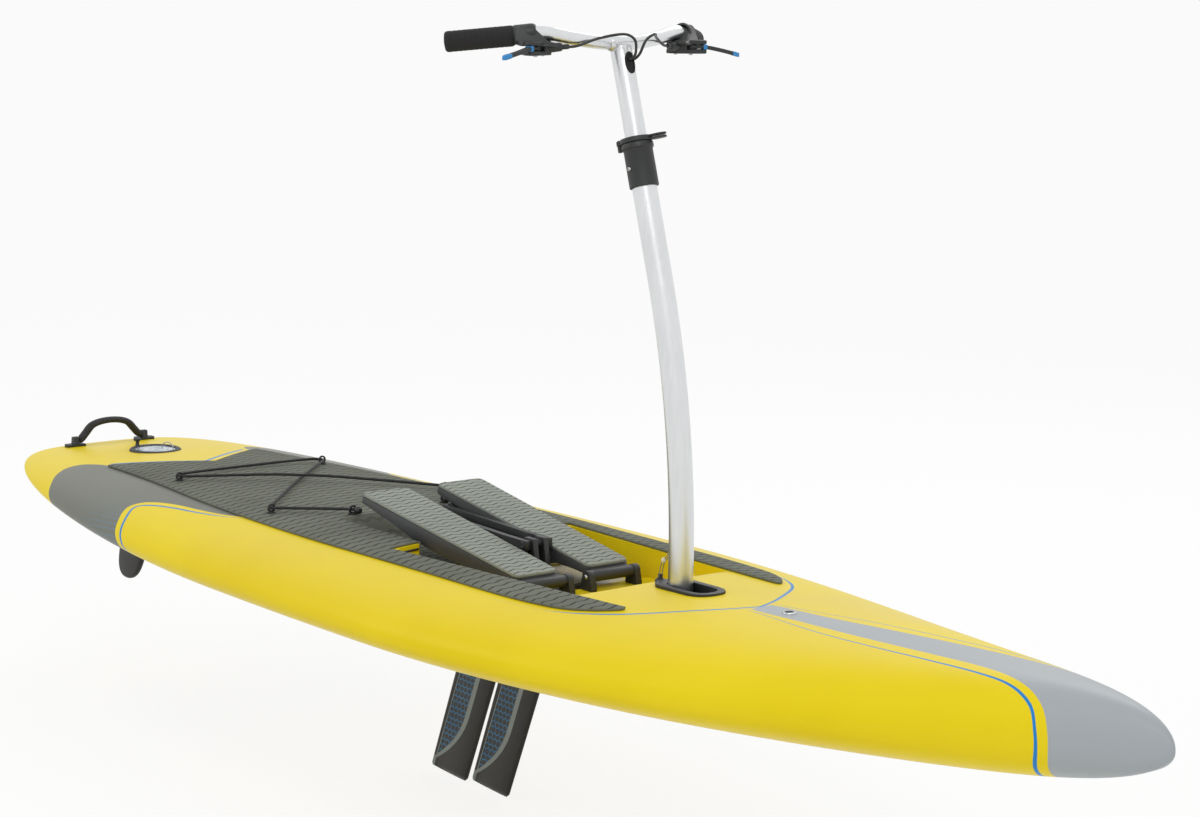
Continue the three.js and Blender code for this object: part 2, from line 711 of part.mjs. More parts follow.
// Everything clamped on the bar is bored by the bar itself, with clearance.
function barBore() {
  return tube(BAR_LINE, BAR_RADIUS + GAP, BAR_STEPS, 12);
}

const GROMMET_DROP = 34; // below the handlebar's centre line
const GROMMET_RADIUS = 9;
const CABLE_SIDE = 3.8; // each cable's place beside the grommet's middle

// A place on the line of the grommet, which runs forward and down through the tube's front wall.
function grommetPoint(forward, port = 0) {
  return besideTube(UPPER_ABOVE - GROMMET_DROP - 0.25 * (forward - UPPER_RADIUS), forward, port);
}

function mastUpper() {
  const foot = besideTube(-UPPER_INSERT, 0, 0);
  const body = bar(foot, BAR_CENTRE, UPPER_RADIUS, 20);
  const boreEnd = besideTube(UPPER_ABOVE - 20, 0, 0);
  const bore = bar(besideTube(-UPPER_INSERT - 1, 0, 0), boreEnd, UPPER_RADIUS - UPPER_WALL);
  const port = bar(grommetPoint(4), grommetPoint(40), GROMMET_RADIUS + GAP, 20);
  return cut(body, bore, barBore(), port);
}

function cableGrommet() {
  const body = bar(grommetPoint(14), grommetPoint(23), GROMMET_RADIUS, 20);
  const hole = (port) => bar(grommetPoint(4, port), grommetPoint(40, port), CABLE_RADIUS + GAP, 12);
  return cut(body, hole(-CABLE_SIDE), hole(CABLE_SIDE));
}

addPiece('mast_upper', mastUpper(), ANODISED);
addPiece('handlebar', handlebar(), ANODISED);
addPiece('cable_grommet', cableGrommet(), BLACK_RUBBER);

// ---- grips, lever brackets, steering levers and their cables (starboard, then mirrored)

const BAR_END = vec(BAR_CENTRE.x + BAR_SIDE[5][0], -BAR_SIDE[5][1], BAR_CENTRE.z + BAR_SIDE[5][2]);
const GRIP_KNEE = vec(BAR_CENTRE.x + BAR_SIDE[4][0], -BAR_SIDE[4][1], BAR_CENTRE.z + BAR_SIDE[4][2]);
const CLAMP_SPOT = vec(BAR_CENTRE.x + BAR_SIDE[3][0], -BAR_SIDE[3][1], BAR_CENTRE.z + BAR_SIDE[3][2]);
const GRIP_WAY = GRIP_KNEE.clone().sub(BAR_END).normalize(); // from the end towards the middle


function grip() {
  const outerEnd = BAR_END.clone().addScaledVector(GRIP_WAY, -GAP - GRIP_END);
  const innerEnd = BAR_END.clone().addScaledVector(GRIP_WAY, GRIP_LENGTH);
  const taperEnd = outerEnd.clone().addScaledVector(GRIP_WAY, -3);
  return cut(
    join(bar(outerEnd, innerEnd, GRIP_RADIUS, 18), bar(taperEnd, innerEnd, GRIP_RADIUS - 3, 18)),
    barBore(),
  );
}

const BODY_DROP = 12; // top of the lever bracket's block below the bar's centre line
const BODY_HEIGHT = 22;
const LEVER_PIVOT = CLAMP_SPOT.clone().add(vec(26, 4, -BODY_DROP - BODY_HEIGHT / 2 - 1));
const LEVER_HUB_RADIUS = 9;
const SNOUT_END = CLAMP_SPOT.clone().add(vec(32, 58, -BODY_DROP - 10));
const SNOUT_WAY = vec(0.38, 0.92, 0.06).normalize();

function leverBody() {
  const ringStart = CLAMP_SPOT.clone().addScaledVector(GRIP_WAY, -3);
  const ringEnd = CLAMP_SPOT.clone().addScaledVector(GRIP_WAY, 16);
  const ring = bar(ringStart, ringEnd, BAR_RADIUS + 6, 20);
  const base = CLAMP_SPOT.z - BODY_DROP - BODY_HEIGHT;
  const plan = roundedOutline([
    [-6, -8], [14, -14], [22, -24], [46, -26], [44, -2], [24, 40], [4, 46], [-10, 22],
  ].map(([x, y]) => [CLAMP_SPOT.x + x, CLAMP_SPOT.y + y]), 8);
  const block = prism(plan, base, base + BODY_HEIGHT, 3);
  const snout = bar(SNOUT_END.clone().addScaledVector(SNOUT_WAY, -36), SNOUT_END, 6);
  const web = box(
    CLAMP_SPOT.x - 3, CLAMP_SPOT.x + 14, CLAMP_SPOT.y - 1, CLAMP_SPOT.y + 14,
    CLAMP_SPOT.z - BODY_DROP - 4, CLAMP_SPOT.z - 4,
  );
  const slotZ = LEVER_PIVOT.z - LEVER_THICK / 2 - 1;
  const slotTop = slotZ + LEVER_THICK + 2;
  const sweep = vec(LEVER_PIVOT.x + 30, LEVER_PIVOT.y - LEVER_LENGTH, 0);
  const slot = join(
    bar(sweep.clone().setZ(slotZ), sweep.clone().setZ(slotTop), LEVER_LENGTH + 12, 28),
    bar(LEVER_PIVOT.clone().setZ(slotZ), LEVER_PIVOT.clone().setZ(slotTop), LEVER_HUB_RADIUS + 1.5),
  );
  const pin = bar(
    LEVER_PIVOT.clone().add(vec(0, 0, -LEVER_THICK)),
    LEVER_PIVOT.clone().add(vec(0, 0, LEVER_THICK)),
    LEVER_PIN_RADIUS,
    12,
  );
  return cut(join(ring, block, snout, web), barBore(), slot).add(pin);
}

addPair('grip', grip(), BLACK_RUBBER);
addPair('lever_body', leverBody(), BLACK_NYLON);

// The blade turns flat about its upright pin and reaches out ahead of the grip.
function leverShape(from, to) {
  const shape = new THREE.Shape();
  const way = vec(0.3, -0.954, 0);
  const side = vec(0.954, 0.3, 0);
  const edge = (along, across) => {
    const point = LEVER_PIVOT.clone().addScaledVector(way, along).addScaledVector(side, across);
    return [point.x, point.y];
  };
  const width = (along) => (along < 20 ? 8 : 5.5);
  shape.moveTo(...edge(from, width(from)));
  shape.lineTo(...edge(to, width(to)));
  shape.lineTo(...edge(to, -width(to)));
  shape.lineTo(...edge(from, -width(from)));
  shape.closePath();
  return prism(shape, LEVER_PIVOT.z - LEVER_THICK / 2, LEVER_PIVOT.z + LEVER_THICK / 2);
}

function steerLever() {
  const top = LEVER_PIVOT.z + LEVER_THICK / 2;
  const hubFoot = LEVER_PIVOT.clone().setZ(top - LEVER_THICK);
  const hub = bar(hubFoot, LEVER_PIVOT.clone().setZ(top), LEVER_HUB_RADIUS);
  const hole = bar(
    LEVER_PIVOT.clone().add(vec(0, 0, -2 * LEVER_THICK)),
    LEVER_PIVOT.clone().add(vec(0, 0, 2 * LEVER_THICK)),
    LEVER_PIN_RADIUS + GAP,
    12,
  );
  return cut(join(hub, leverShape(0, LEVER_LENGTH)), hole);
}

// Cable housing from the bracket's snout, over the bar, into the grommet in the tube.
function steerCable() {
  const start = SNOUT_END.clone().addScaledVector(SNOUT_WAY, 1.2);
  const mouth = grommetPoint(27, -CABLE_SIDE);
  const points = [
    start.toArray(),
    start.clone().addScaledVector(SNOUT_WAY, 24).toArray(),
    [start.x + 30, start.y + 58, start.z + 16],
    [mouth.x + 20, mouth.y - 28, mouth.z + 44],
    [mouth.x + 21, mouth.y - 9, mouth.z + 34],
    [mouth.x + 13, mouth.y - 1, mouth.z + 9],
    mouth.toArray(),
    grommetPoint(19, -CABLE_SIDE).toArray(),
    grommetPoint(11, -CABLE_SIDE).toArray(),
  ];
  return tube(smoothCurve(points), CABLE_RADIUS, 20, 6);
}

addPair('steer_lever', steerLever(), BLACK_NYLON);
addPair('steer_cable', steerCable(), BLACK_RUBBER);

// ---- stay wire from the deck fitting up the back of the mast

const STAY_X = -56;
const STAY_TOP_Z = 262;
const FERRULE_X = -MAST_RADIUS - 5.6;

function stayFitting() {
  const z = deckHeight(STAY_X, 0) + GAP;
  const base = turned([[0, z], [10, z], [10, z + 3], [6, z + 6], [0, z + 6]], STAY_X, 0, 20);
  const ear = box(STAY_X - 5, STAY_X + 5, -2, 2, z + 4, z + 14);
  return cut(join(base, ear), bar(vec(STAY_X, -5, z + 10), vec(STAY_X, 5, z + 10), 2, 12));
}

function stayWire() {
  const z = deckHeight(STAY_X, 0) + GAP + 10;
  const points = [
    [STAY_X + 0.4, 3.2, z - 0.4], [STAY_X + 5, 3.4, z + 22], [FERRULE_X - 3, 3, 220],
    [FERRULE_X, 1.3, STAY_TOP_Z - 8],
  ];
  const mirrored = points.map(([x, y, h]) => [x, -y, h]);
  const first = tube(smoothCurve(points), 1, 10, 6);
  const second = tube(smoothCurve(mirrored), 1, 10, 6);
  const hook = bar(vec(STAY_X + 0.4, -4.4, z), vec(STAY_X + 0.4, 4.4, z), 1.4, 12);
  const ferrule = bar(vec(FERRULE_X, 0, STAY_TOP_Z - 12), vec(FERRULE_X, 0, STAY_TOP_Z + 6), 2.8, 12);
  return join(first, second, hook, ferrule);
}

addPiece('stay_fitting', stayFitting(), BLACK_NYLON);
addPiece('stay_wire', stayWire(), STEEL);

// ---- pedals (starboard, then mirrored): drawn level behind the hinge, then tilted up by the pedal's angle

function tilted(body) {
  const geometry = geometryOf(body);
  geometry.rotateY(PEDAL_TILT);
  geometry.translate(PEDAL_HINGE_X, 0, PEDAL_HINGE_Z);
  return solid(geometry);
}

const PEDAL_FRONT = -16; // tray's front edge, behind the hinge axis

function pedalPlan(inset) {
  return roundedOutline([
    [PEDAL_FRONT - inset, -PEDAL_INNER_Y - inset],
    [PEDAL_FRONT - inset, -PEDAL_INNER_Y - PEDAL_FRONT_WIDTH + inset],
    [-PEDAL_LENGTH + inset, -PEDAL_INNER_Y - PEDAL_REAR_WIDTH + inset],
    [-PEDAL_LENGTH + inset, -PEDAL_INNER_Y - inset],
  ], 14);
}

function pedalSide() {
  const top = PEDAL_TOP;
  return outline([
    [PEDAL_FRONT + 1, top], [-PEDAL_LENGTH - 1, top], [-PEDAL_LENGTH - 1, top - PEDAL_END_DEPTH],
    [-400, top - 20], [-330, top - PEDAL_BELLY + 2], [-250, top - PEDAL_BELLY],
    [-150, top - PEDAL_BELLY + 5], [-60, top - 16], [PEDAL_FRONT + 1, top - 13],
  ].reverse());
}

function pedalTray() {
  const width = PEDAL_INNER_Y + PEDAL_REAR_WIDTH + 5;
  const body = slab(pedalSide(), -width, 0).intersect(prism(pedalPlan(0), -80, 80));
  const room = prism(pedalPlan(PEDAL_SKIN), -80, PEDAL_TOP - PEDAL_SKIN)
    .intersect(box(-385, -60, -200, 0, -80, 80));
  const ribs = [-140, -220, -300].map((x) => box(x - 1.5, x + 1.5, -200, 0, -80, 80));
  return tilted(join(body.subtract(room), ...ribs.map((rib) => rib.intersect(body))));
}

const HINGE_TUBE_OUTER = BRACKET_OUTER_Y - BRACKET_WIDTH - GAP;
const HINGE_TUBE_INNER = BRACKET_INNER_Y + BRACKET_WIDTH + GAP;

function hingeTube() {
  const body = bar(vec(0, -HINGE_TUBE_OUTER, 0), vec(0, -HINGE_TUBE_INNER, 0), HINGE_RADIUS, 24);
  const bore = bar(vec(0, -200, 0), vec(0, 0, 0), HINGE_BOLT_RADIUS + GAP, 16);
  const front = slab(
    outline([[PEDAL_FRONT + GAP, -3], [PEDAL_FRONT + GAP, 9], [-3, 10], [-3, -8]]),
    -HINGE_TUBE_OUTER + 3,
    -HINGE_TUBE_INNER - 5,
  );
  return tilted(cut(join(body, front), bore));
}

function pedalPad() {
  const lift = PEDAL_TOP + GAP;
  return tilted(prism(pedalPlan(1.5), lift, lift + PEDAL_PAD_THICK));
}

// The hinge bolt is one with the outer bracket: it runs through the tube into the inner bracket.
function hingeBolt() {
  const outer = vec(PEDAL_HINGE_X, -BRACKET_OUTER_Y - 1.5, PEDAL_HINGE_Z);
  const inner = vec(PEDAL_HINGE_X, -BRACKET_INNER_Y + 1.5, PEDAL_HINGE_Z);
  return bar(outer, inner, HINGE_BOLT_RADIUS, 16);
}

function hingeBracket(edge) {
  const side = new THREE.Shape();
  const foot = SHELF_Z + GAP;
  side.moveTo(PEDAL_HINGE_X - 17, foot);
  side.lineTo(PEDAL_HINGE_X + 17, foot);
  side.lineTo(PEDAL_HINGE_X + 17, foot + 5);
  side.lineTo(PEDAL_HINGE_X + 12, PEDAL_HINGE_Z);
  side.absarc(PEDAL_HINGE_X, PEDAL_HINGE_Z, 12, 0, Math.PI, false);
  side.lineTo(PEDAL_HINGE_X - 17, foot + 5);
  side.closePath();
  return slab(side, edge, edge + BRACKET_WIDTH);
}

function boltHole() {
  return bar(
    vec(PEDAL_HINGE_X, -200, PEDAL_HINGE_Z),
    vec(PEDAL_HINGE_X, 0, PEDAL_HINGE_Z),
    HINGE_BOLT_RADIUS + GAP,
    16,
  );
}

addPair('pedal', pedalTray(), CHARCOAL_NYLON);
addPair('pedal_pad', pedalPad(), GREY_FOAM);
addPair('hinge_tube', hingeTube(), BLACK_NYLON);
addPair('outer_bracket', hingeBracket(-BRACKET_OUTER_Y).add(hingeBolt()), BLACK_NYLON);
addPair('inner_bracket', hingeBracket(-BRACKET_INNER_Y - BRACKET_WIDTH).subtract(boltHole()), BLACK_NYLON);

// ---- drive: base plate, spine, fin shaft, fins, crank arms and rollers

const BASE_TOP_Z = WELL_FLOOR_Z + GAP + BASE_PLATE_THICK;
const FLANGE_Z = BASE_TOP_Z + GAP;
const FLANGE_TOP_Z = FLANGE_Z + FLANGE_THICK;
const BASE_FRONT_X = SHELF_X - 2;

function basePlate() {
  const plan = roundedOutline([
    [BASE_PLATE_REAR_X, -BASE_PLATE_HALF], [BASE_FRONT_X, -BASE_PLATE_HALF],
    [BASE_FRONT_X, BASE_PLATE_HALF], [BASE_PLATE_REAR_X, BASE_PLATE_HALF],
  ], 18);
  const opening = box(BASE_PLATE_REAR_X - 5, BASE_FRONT_X + 5, -SLOT_HALF - 2, SLOT_HALF + 2, 0, 200);
  const halves = prism(plan, WELL_FLOOR_Z + GAP, BASE_TOP_Z).subtract(opening);
  return halves.intersect(box(-900, 0, -300, 0, 0, 200)).add(latchPin());
}

const HUB_X = [0, 1].map((index) => finLine(index, FIN_AXIS_Z) - FIN_ROD_SET_BACK);
const BLOCKS = [[SLOT_REAR_X + 3, SLOT_REAR_X + 17], [-424, -398], [-321, -311]]; // shaft hangers

function spine() {
  const rear = SLOT_REAR_X + 3;
  const front = SLOT_FRONT_X - 2;
  const beam = box(rear, front, -SPINE_HALF, SPINE_HALF, SPINE_BOTTOM_Z, FLANGE_TOP_Z);
  const blockHalf = SPINE_HALF - 2;
  const blocks = BLOCKS.map(([x0, x1]) => box(x0, x1, -blockHalf, blockHalf, 20, SPINE_BOTTOM_Z + 2));
  const flanges = [-528, -344].map((x) => box(x - 9, x + 9, -72, 72, FLANGE_Z, FLANGE_TOP_Z));
  const post = slab(
    outline([[CRANK_X - 26, FLANGE_TOP_Z - 2], [CRANK_X + 30, FLANGE_TOP_Z - 2],
      [CRANK_X + 14, CRANK_Z + 12], [CRANK_X - 14, CRANK_Z + 12]]),
    -CRANK_ARM_Y + 2,
    CRANK_ARM_Y - 2,
  );
  const between = box(CRANK_X - 40, CRANK_X + 40, -7, 7, FLANGE_TOP_Z + 8, 300);
  const finShaft = bar(vec(rear + 1, 0, FIN_AXIS_Z), vec(front - 1, 0, FIN_AXIS_Z), FIN_SHAFT_RADIUS);
  const crankHalf = CRANK_ARM_Y + CRANK_ARM_WIDTH + 1;
  const crankEnds = [-crankHalf, crankHalf].map((y) => vec(CRANK_X, y, CRANK_Z));
  const crankShaft = bar(...crankEnds, CRANK_SHAFT_RADIUS);
  return join(beam, ...blocks, ...flanges, post.subtract(between), finShaft, crankShaft);
}

function finLine(index, z) {
  return FRONT_FIN_X - index * FIN_SPACING + z * Math.tan(FIN_LEAN);
}

function rodPoint(index, along) {
  const x = HUB_X[index] - along * Math.sin(FIN_LEAN);
  return vec(x, 0, FIN_AXIS_Z - along * Math.cos(FIN_LEAN));
}

function finMast(index) {
  const x = HUB_X[index];
  const ends = [-0.5, 0.5].map((share) => vec(x + share * HUB_LENGTH, 0, FIN_AXIS_Z));
  const hub = bar(...ends, HUB_RADIUS, 22);
  const rod = bar(rodPoint(index, 8), rodPoint(index, FIN_ROD_LENGTH), FIN_ROD_RADIUS, 12);
  const bore = bar(vec(-700, 0, FIN_AXIS_Z), vec(-200, 0, FIN_AXIS_Z), FIN_SHAFT_RADIUS + GAP, 20);
  return join(hub, rod).subtract(bore);
}

// A swept blade: a box laid on a foil, thick behind its leading edge and thin at its trailing edge.
function fin(index) {
  const geometry = new THREE.BoxGeometry(1, 1, 1, 8, 1, 6);
  const position = geometry.attributes.position;
  for (let i = 0; i < position.count; i += 1) {
    const chordShare = 0.5 - position.getX(i);
    const span = 0.5 - position.getZ(i);
    const side = Math.sign(position.getY(i));
    const chord = THREE.MathUtils.lerp(FIN_ROOT_CHORD, FIN_TIP_CHORD, span);
    const corner = 26 * Math.max(0, (span - 0.9) / 0.1) * Math.max(0, (chordShare - 0.8) / 0.2) ** 2;
    const z = THREE.MathUtils.lerp(FIN_ROOT_Z, FIN_TIP_Z + corner, span);
    const foil = Math.sin(Math.PI * Math.min(1, 0.14 + 0.9 * chordShare ** 0.62));
    const half = Math.max(0.8, (FIN_THICK / 2) * foil * (1 - 0.12 * span));
    position.setXYZ(i, finLine(index, z) - chordShare * chord, side * half, z);
  }
  const rod = bar(rodPoint(index, 0), rodPoint(index, FIN_ROD_LENGTH + GAP), FIN_ROD_RADIUS + GAP, 12);
  return solid(geometry).subtract(rod);
}

function crankArm() {
  const outerY = -CRANK_ARM_Y - CRANK_ARM_WIDTH;
  const rollerX = CRANK_X - CRANK_LENGTH;
  const rollerZ = rollerHeight(rollerX);
  const rise = rollerZ - CRANK_Z;
  const shape = outline([
    [CRANK_X + 10, CRANK_Z - 9], [CRANK_X + 10, CRANK_Z + 9], [CRANK_X - 60, CRANK_Z + 10],
    [rollerX - 6, CRANK_Z + rise + 8], [rollerX - 9, CRANK_Z + rise],
    [rollerX - 6, CRANK_Z + rise - 8], [CRANK_X - 60, CRANK_Z - 12],
  ].reverse());
  const onAxle = (y) => vec(rollerX, y, rollerZ);
  const axleEnd = onAxle(outerY - ROLLER_LENGTH - 6);
  const axle = bar(onAxle(-CRANK_ARM_Y - 3), axleEnd, ROLLER_PIN_RADIUS, 14);
  const head = bar(onAxle(outerY - ROLLER_LENGTH - 3), axleEnd, 7, 14);
  const hole = bar(vec(CRANK_X, -90, CRANK_Z), vec(CRANK_X, 0, CRANK_Z), CRANK_SHAFT_RADIUS + GAP, 20);
  return cut(join(slab(shape, outerY, -CRANK_ARM_Y), axle, head), hole);
}

// Height of the roller's axle, so that it rests just clear of the tray's underside.
function rollerHeight(x) {
  const along = (PEDAL_HINGE_X - x) / Math.cos(PEDAL_TILT);
  const share = (along - 400) / (PEDAL_LENGTH - 400);
  const depth = THREE.MathUtils.lerp(20, PEDAL_END_DEPTH, share) - PEDAL_TOP;
  const underside = PEDAL_HINGE_Z + along * Math.sin(PEDAL_TILT) - depth * Math.cos(PEDAL_TILT);
  return underside - ROLLER_RADIUS - ROLLER_CLEAR;
}

function roller() {
  const x = CRANK_X - CRANK_LENGTH;
  const z = rollerHeight(x);
  const near = -CRANK_ARM_Y - CRANK_ARM_WIDTH - 2;
  return cut(
    bar(vec(x, near, z), vec(x, near - ROLLER_LENGTH, z), ROLLER_RADIUS, 20),
    bar(vec(x, 0, z), vec(x, -200, z), ROLLER_PIN_RADIUS + GAP, 14),
  );
}

function latch() {
  const z = FLANGE_TOP_Z + GAP;
  const edge = LATCH_X - LATCH_WIDTH / 2;
  const inner = -LATCH_Y + 38;
  const outer = inner - LATCH_LENGTH;
  const shape = roundedOutline([
    [edge, inner], [edge, outer], [edge + LATCH_WIDTH + 8, outer - 2],
    [edge + LATCH_WIDTH, -LATCH_Y], [edge + LATCH_WIDTH, inner],
  ], 6);
  const hole = bar(vec(LATCH_X, -LATCH_Y, z - 5), vec(LATCH_X, -LATCH_Y, z + 20), LATCH_PIN_RADIUS + GAP, 14);
  return cut(prism(shape, z, z + LATCH_THICK), hole);
}

// The latch turns on a shouldered post that stands on the base plate.
function latchPin() {
  const top = FLANGE_TOP_Z + GAP + LATCH_THICK;
  const post = (z0, z1, radius) => bar(vec(LATCH_X, -LATCH_Y, z0), vec(LATCH_X, -LATCH_Y, z1), radius, 14);
  return join(
    post(BASE_TOP_Z - 1, FLANGE_TOP_Z, 7),
    post(BASE_TOP_Z, top + 1, LATCH_PIN_RADIUS),
    post(top + GAP, top + 2, LATCH_PIN_RADIUS + 3),
  );
}

addPair('base_plate', basePlate(), CREAM_PLASTIC);
addPiece('drive_spine', spine(), BLACK_NYLON);
['front', 'rear'].forEach((name, index) => {
  addPiece(`fin_mast_${name}`, finMast(index), STEEL);
  addPiece(`fin_${name}`, fin(index), BLACK_RUBBER);
});
addPair('crank_arm', crankArm(), BLACK_NYLON);
addPair('roller', roller(), BLACK_NYLON);
addPair('latch', latch(), BLACK_NYLON);

// ---- rudder, its drum, and the hatch over it

const RUDDER_FRONT_X = RUDDER_X + 26;
const RUDDER_TOP_Z = bottomHeight(RUDDER_FRONT_X) - 3;

function rudderBlade() {
  const rearX = RUDDER_FRONT_X - RUDDER_CHORD;
  const sweptX = rearX - 50;
  const side = new THREE.Shape();
  side.moveTo(RUDDER_FRONT_X, RUDDER_TOP_Z);
  side.lineTo(rearX, RUDDER_TOP_Z);
  side.quadraticCurveTo(rearX - 38, -60, sweptX, -130);
  side.quadraticCurveTo(sweptX - 6, RUDDER_TIP_Z, sweptX + 34, RUDDER_TIP_Z);
  side.quadraticCurveTo(sweptX + 79, RUDDER_TIP_Z - 1, sweptX + 104, -120);
  side.quadraticCurveTo(RUDDER_X - 20, -40, RUDDER_FRONT_X, RUDDER_TOP_Z);
  const body = slab(side, -RUDDER_THICK / 2, RUDDER_THICK / 2, 6);
  const socket = bar(vec(RUDDER_X, 0, -20), vec(RUDDER_X, 0, RUDDER_TOP_Z + 5), STOCK_RADIUS - 3 + GAP, 20);
  return body.subtract(socket);
}

function rudderStock() {
  const shoulder = RUDDER_TOP_Z + GAP;
  const drumZ = HATCH_BORE_Z + GAP;
  return join(
    bar(vec(RUDDER_X, 0, -10), vec(RUDDER_X, 0, shoulder + 4), STOCK_RADIUS - 3, 20),
    bar(vec(RUDDER_X, 0, shoulder), vec(RUDDER_X, 0, drumZ + 20), STOCK_RADIUS, 20),
    rudderDrum(),
  );
}

function rudderDrum() {
  const z = HATCH_BORE_Z + GAP;
  const r = DRUM_RADIUS;
  const profile = [
    [0, z], [r, z], [r, z + 3], [r - 4, z + 5], [r - 4, z + 9], [r, z + 11], [r, z + 14], [0, z + 14],
  ];
  return turned(profile, RUDDER_X, 0, 20);
}

function hatchRing() {
  const z = HATCH_SEAT_Z + GAP;
  const inner = HATCH_BORE - 8;
  const profile = [
    [inner, z], [HATCH_RADIUS, z], [HATCH_RADIUS, z + HATCH_RING_HEIGHT - 2],
    [HATCH_RADIUS - 3, z + HATCH_RING_HEIGHT], [HATCH_BORE, z + HATCH_RING_HEIGHT],
    [HATCH_BORE, z + 3], [inner, z + 3], [inner, z],
  ];
  const body = turned(profile, RUDDER_X, 0, 28);
  return body.subtract(knobHole());
}

const KNOB_REACH = 52;
const KNOB_TURN = THREE.MathUtils.degToRad(160);
const KNOB_X = RUDDER_X + KNOB_REACH * Math.cos(KNOB_TURN);
const KNOB_Y = -KNOB_REACH * Math.sin(KNOB_TURN);

function knobHole() {
  const z = HATCH_SEAT_Z + GAP + HATCH_RING_HEIGHT;
  return bar(vec(KNOB_X, KNOB_Y, z - 6), vec(KNOB_X, KNOB_Y, z + 5), 2.5 + GAP, 12);
}

function hatchLens() {
  const z = HATCH_SEAT_Z + 3 + 2 * GAP;
  const lens = turned([
    [0, z], [HATCH_BORE - GAP, z], [HATCH_BORE - GAP, z + HATCH_LENS_THICK], [0, z + HATCH_LENS_THICK + 1.5],
  ], RUDDER_X, 0, 36);
  return lens;
}

function rudderKnob() {
  const z = HATCH_SEAT_Z + GAP + HATCH_RING_HEIGHT;
  return turned([
    [0, z - 5], [2.5, z - 5], [2.5, z + 0.3], [5, z + 0.3], [4, z + 9], [9, z + 12],
    [9, z + 16], [6, z + 18], [0, z + 18],
  ], KNOB_X, KNOB_Y, 20);
}

addPiece('rudder_blade', rudderBlade(), BLACK_NYLON);
addPiece('rudder_stock', rudderStock(), STEEL);
addPiece('hatch_ring', hatchRing(), BLACK_NYLON);
addPiece('hatch_lens', hatchLens(), CLEAR_PLASTIC);
addPiece('rudder_knob', rudderKnob(), BLACK_NYLON);

// ---- stern handle

const HANDLE_FOOT_Y = HANDLE_HALF - 14;
const HANDLE_FOOT_Z = deckHeight(HANDLE_X, HANDLE_FOOT_Y);
const LUG_INNER_Y = HANDLE_FOOT_Y - 8;

function handleFoot() {
  const plan = roundedOutline([
    [HANDLE_X - 14, -HANDLE_FOOT_Y + 22], [HANDLE_X - 11, -HANDLE_FOOT_Y - 24],
    [HANDLE_X + 12, -HANDLE_FOOT_Y - 24], [HANDLE_X + 17, -HANDLE_FOOT_Y + 22],
  ], 8);
  const pad = seated(prism(plan, HANDLE_FOOT_Z - 12, HANDLE_FOOT_Z + 6, 4), GAP);
  const lug = slab(
    outline([
      [HANDLE_X - 8, HANDLE_FOOT_Z + 5], [HANDLE_X + 8, HANDLE_FOOT_Z + 5],
      [HANDLE_X + 6, HANDLE_FOOT_Z + 22], [HANDLE_X - 6, HANDLE_FOOT_Z + 22],
    ]),
    -HANDLE_FOOT_Y - 6,
    -LUG_INNER_Y,
  );
  return join(pad, lug);
}

function handleGrip() {
  const z = HANDLE_FOOT_Z + HANDLE_RADIUS + 7;
  const half = LUG_INNER_Y - 2 * GAP;
  const side = [[half, z], [half - 5, z], [half - 18, z + 13], [half * 0.55, z + HANDLE_RISE * 0.62]];
  const points = [
    ...side.map(([y, height]) => [HANDLE_X, -y, height]),
    [HANDLE_X, 0, z + HANDLE_RISE * 0.78],
    ...side.reverse().map(([y, height]) => [HANDLE_X, y, height]),
  ];
  return tube(smoothCurve(points), HANDLE_RADIUS, 16, 10);
}

addPair('handle_foot', handleFoot(), BLACK_NYLON);
addPiece('handle_grip', handleGrip(), BLACK_RUBBER);

// ---- bungee, laced between deck eyes and ending in two ball hooks ahead

const AFT_EYE_X = -1415;
const AFT_EYE_Y = 180;
const MID_EYE_X = -1005;
const MID_EYE_Y = 214;
const END_EYE_X = -868;
const END_EYE_Y = 112;
const EYES = [
  [AFT_EYE_X, AFT_EYE_Y], [MID_EYE_X, MID_EYE_Y], [END_EYE_X, END_EYE_Y],
].flatMap(([x, y]) => [[x, -y], [x, y]]);
const EYE_LIFT = 10; // middle of an eye's hole above the pad
const CROSS_LIFT = 3.6; // how far each cord bends from the other where they cross

function padTop(x, y) {
  return deckHeight(x, y) + GAP + PAD_THICK;
}

function deckEye(x, y) {
  const z = padTop(x, y);
  const foot = turned([[0, z - 6], [EYE_RING, z - 6], [EYE_RING, z + 3], [0, z + 3]], x, y, 12);
  const centre = z + EYE_LIFT;
  const loop = bar(vec(x - 2, y, centre), vec(x + 2, y, centre), EYE_RING, 12);
  const hole = bar(vec(x - 20, y, centre), vec(x + 20, y, centre), BUNGEE_RADIUS + 2.6, 8);
  return cut(seated(join(foot, loop), PAD_THICK + 2 * GAP), hole);
}

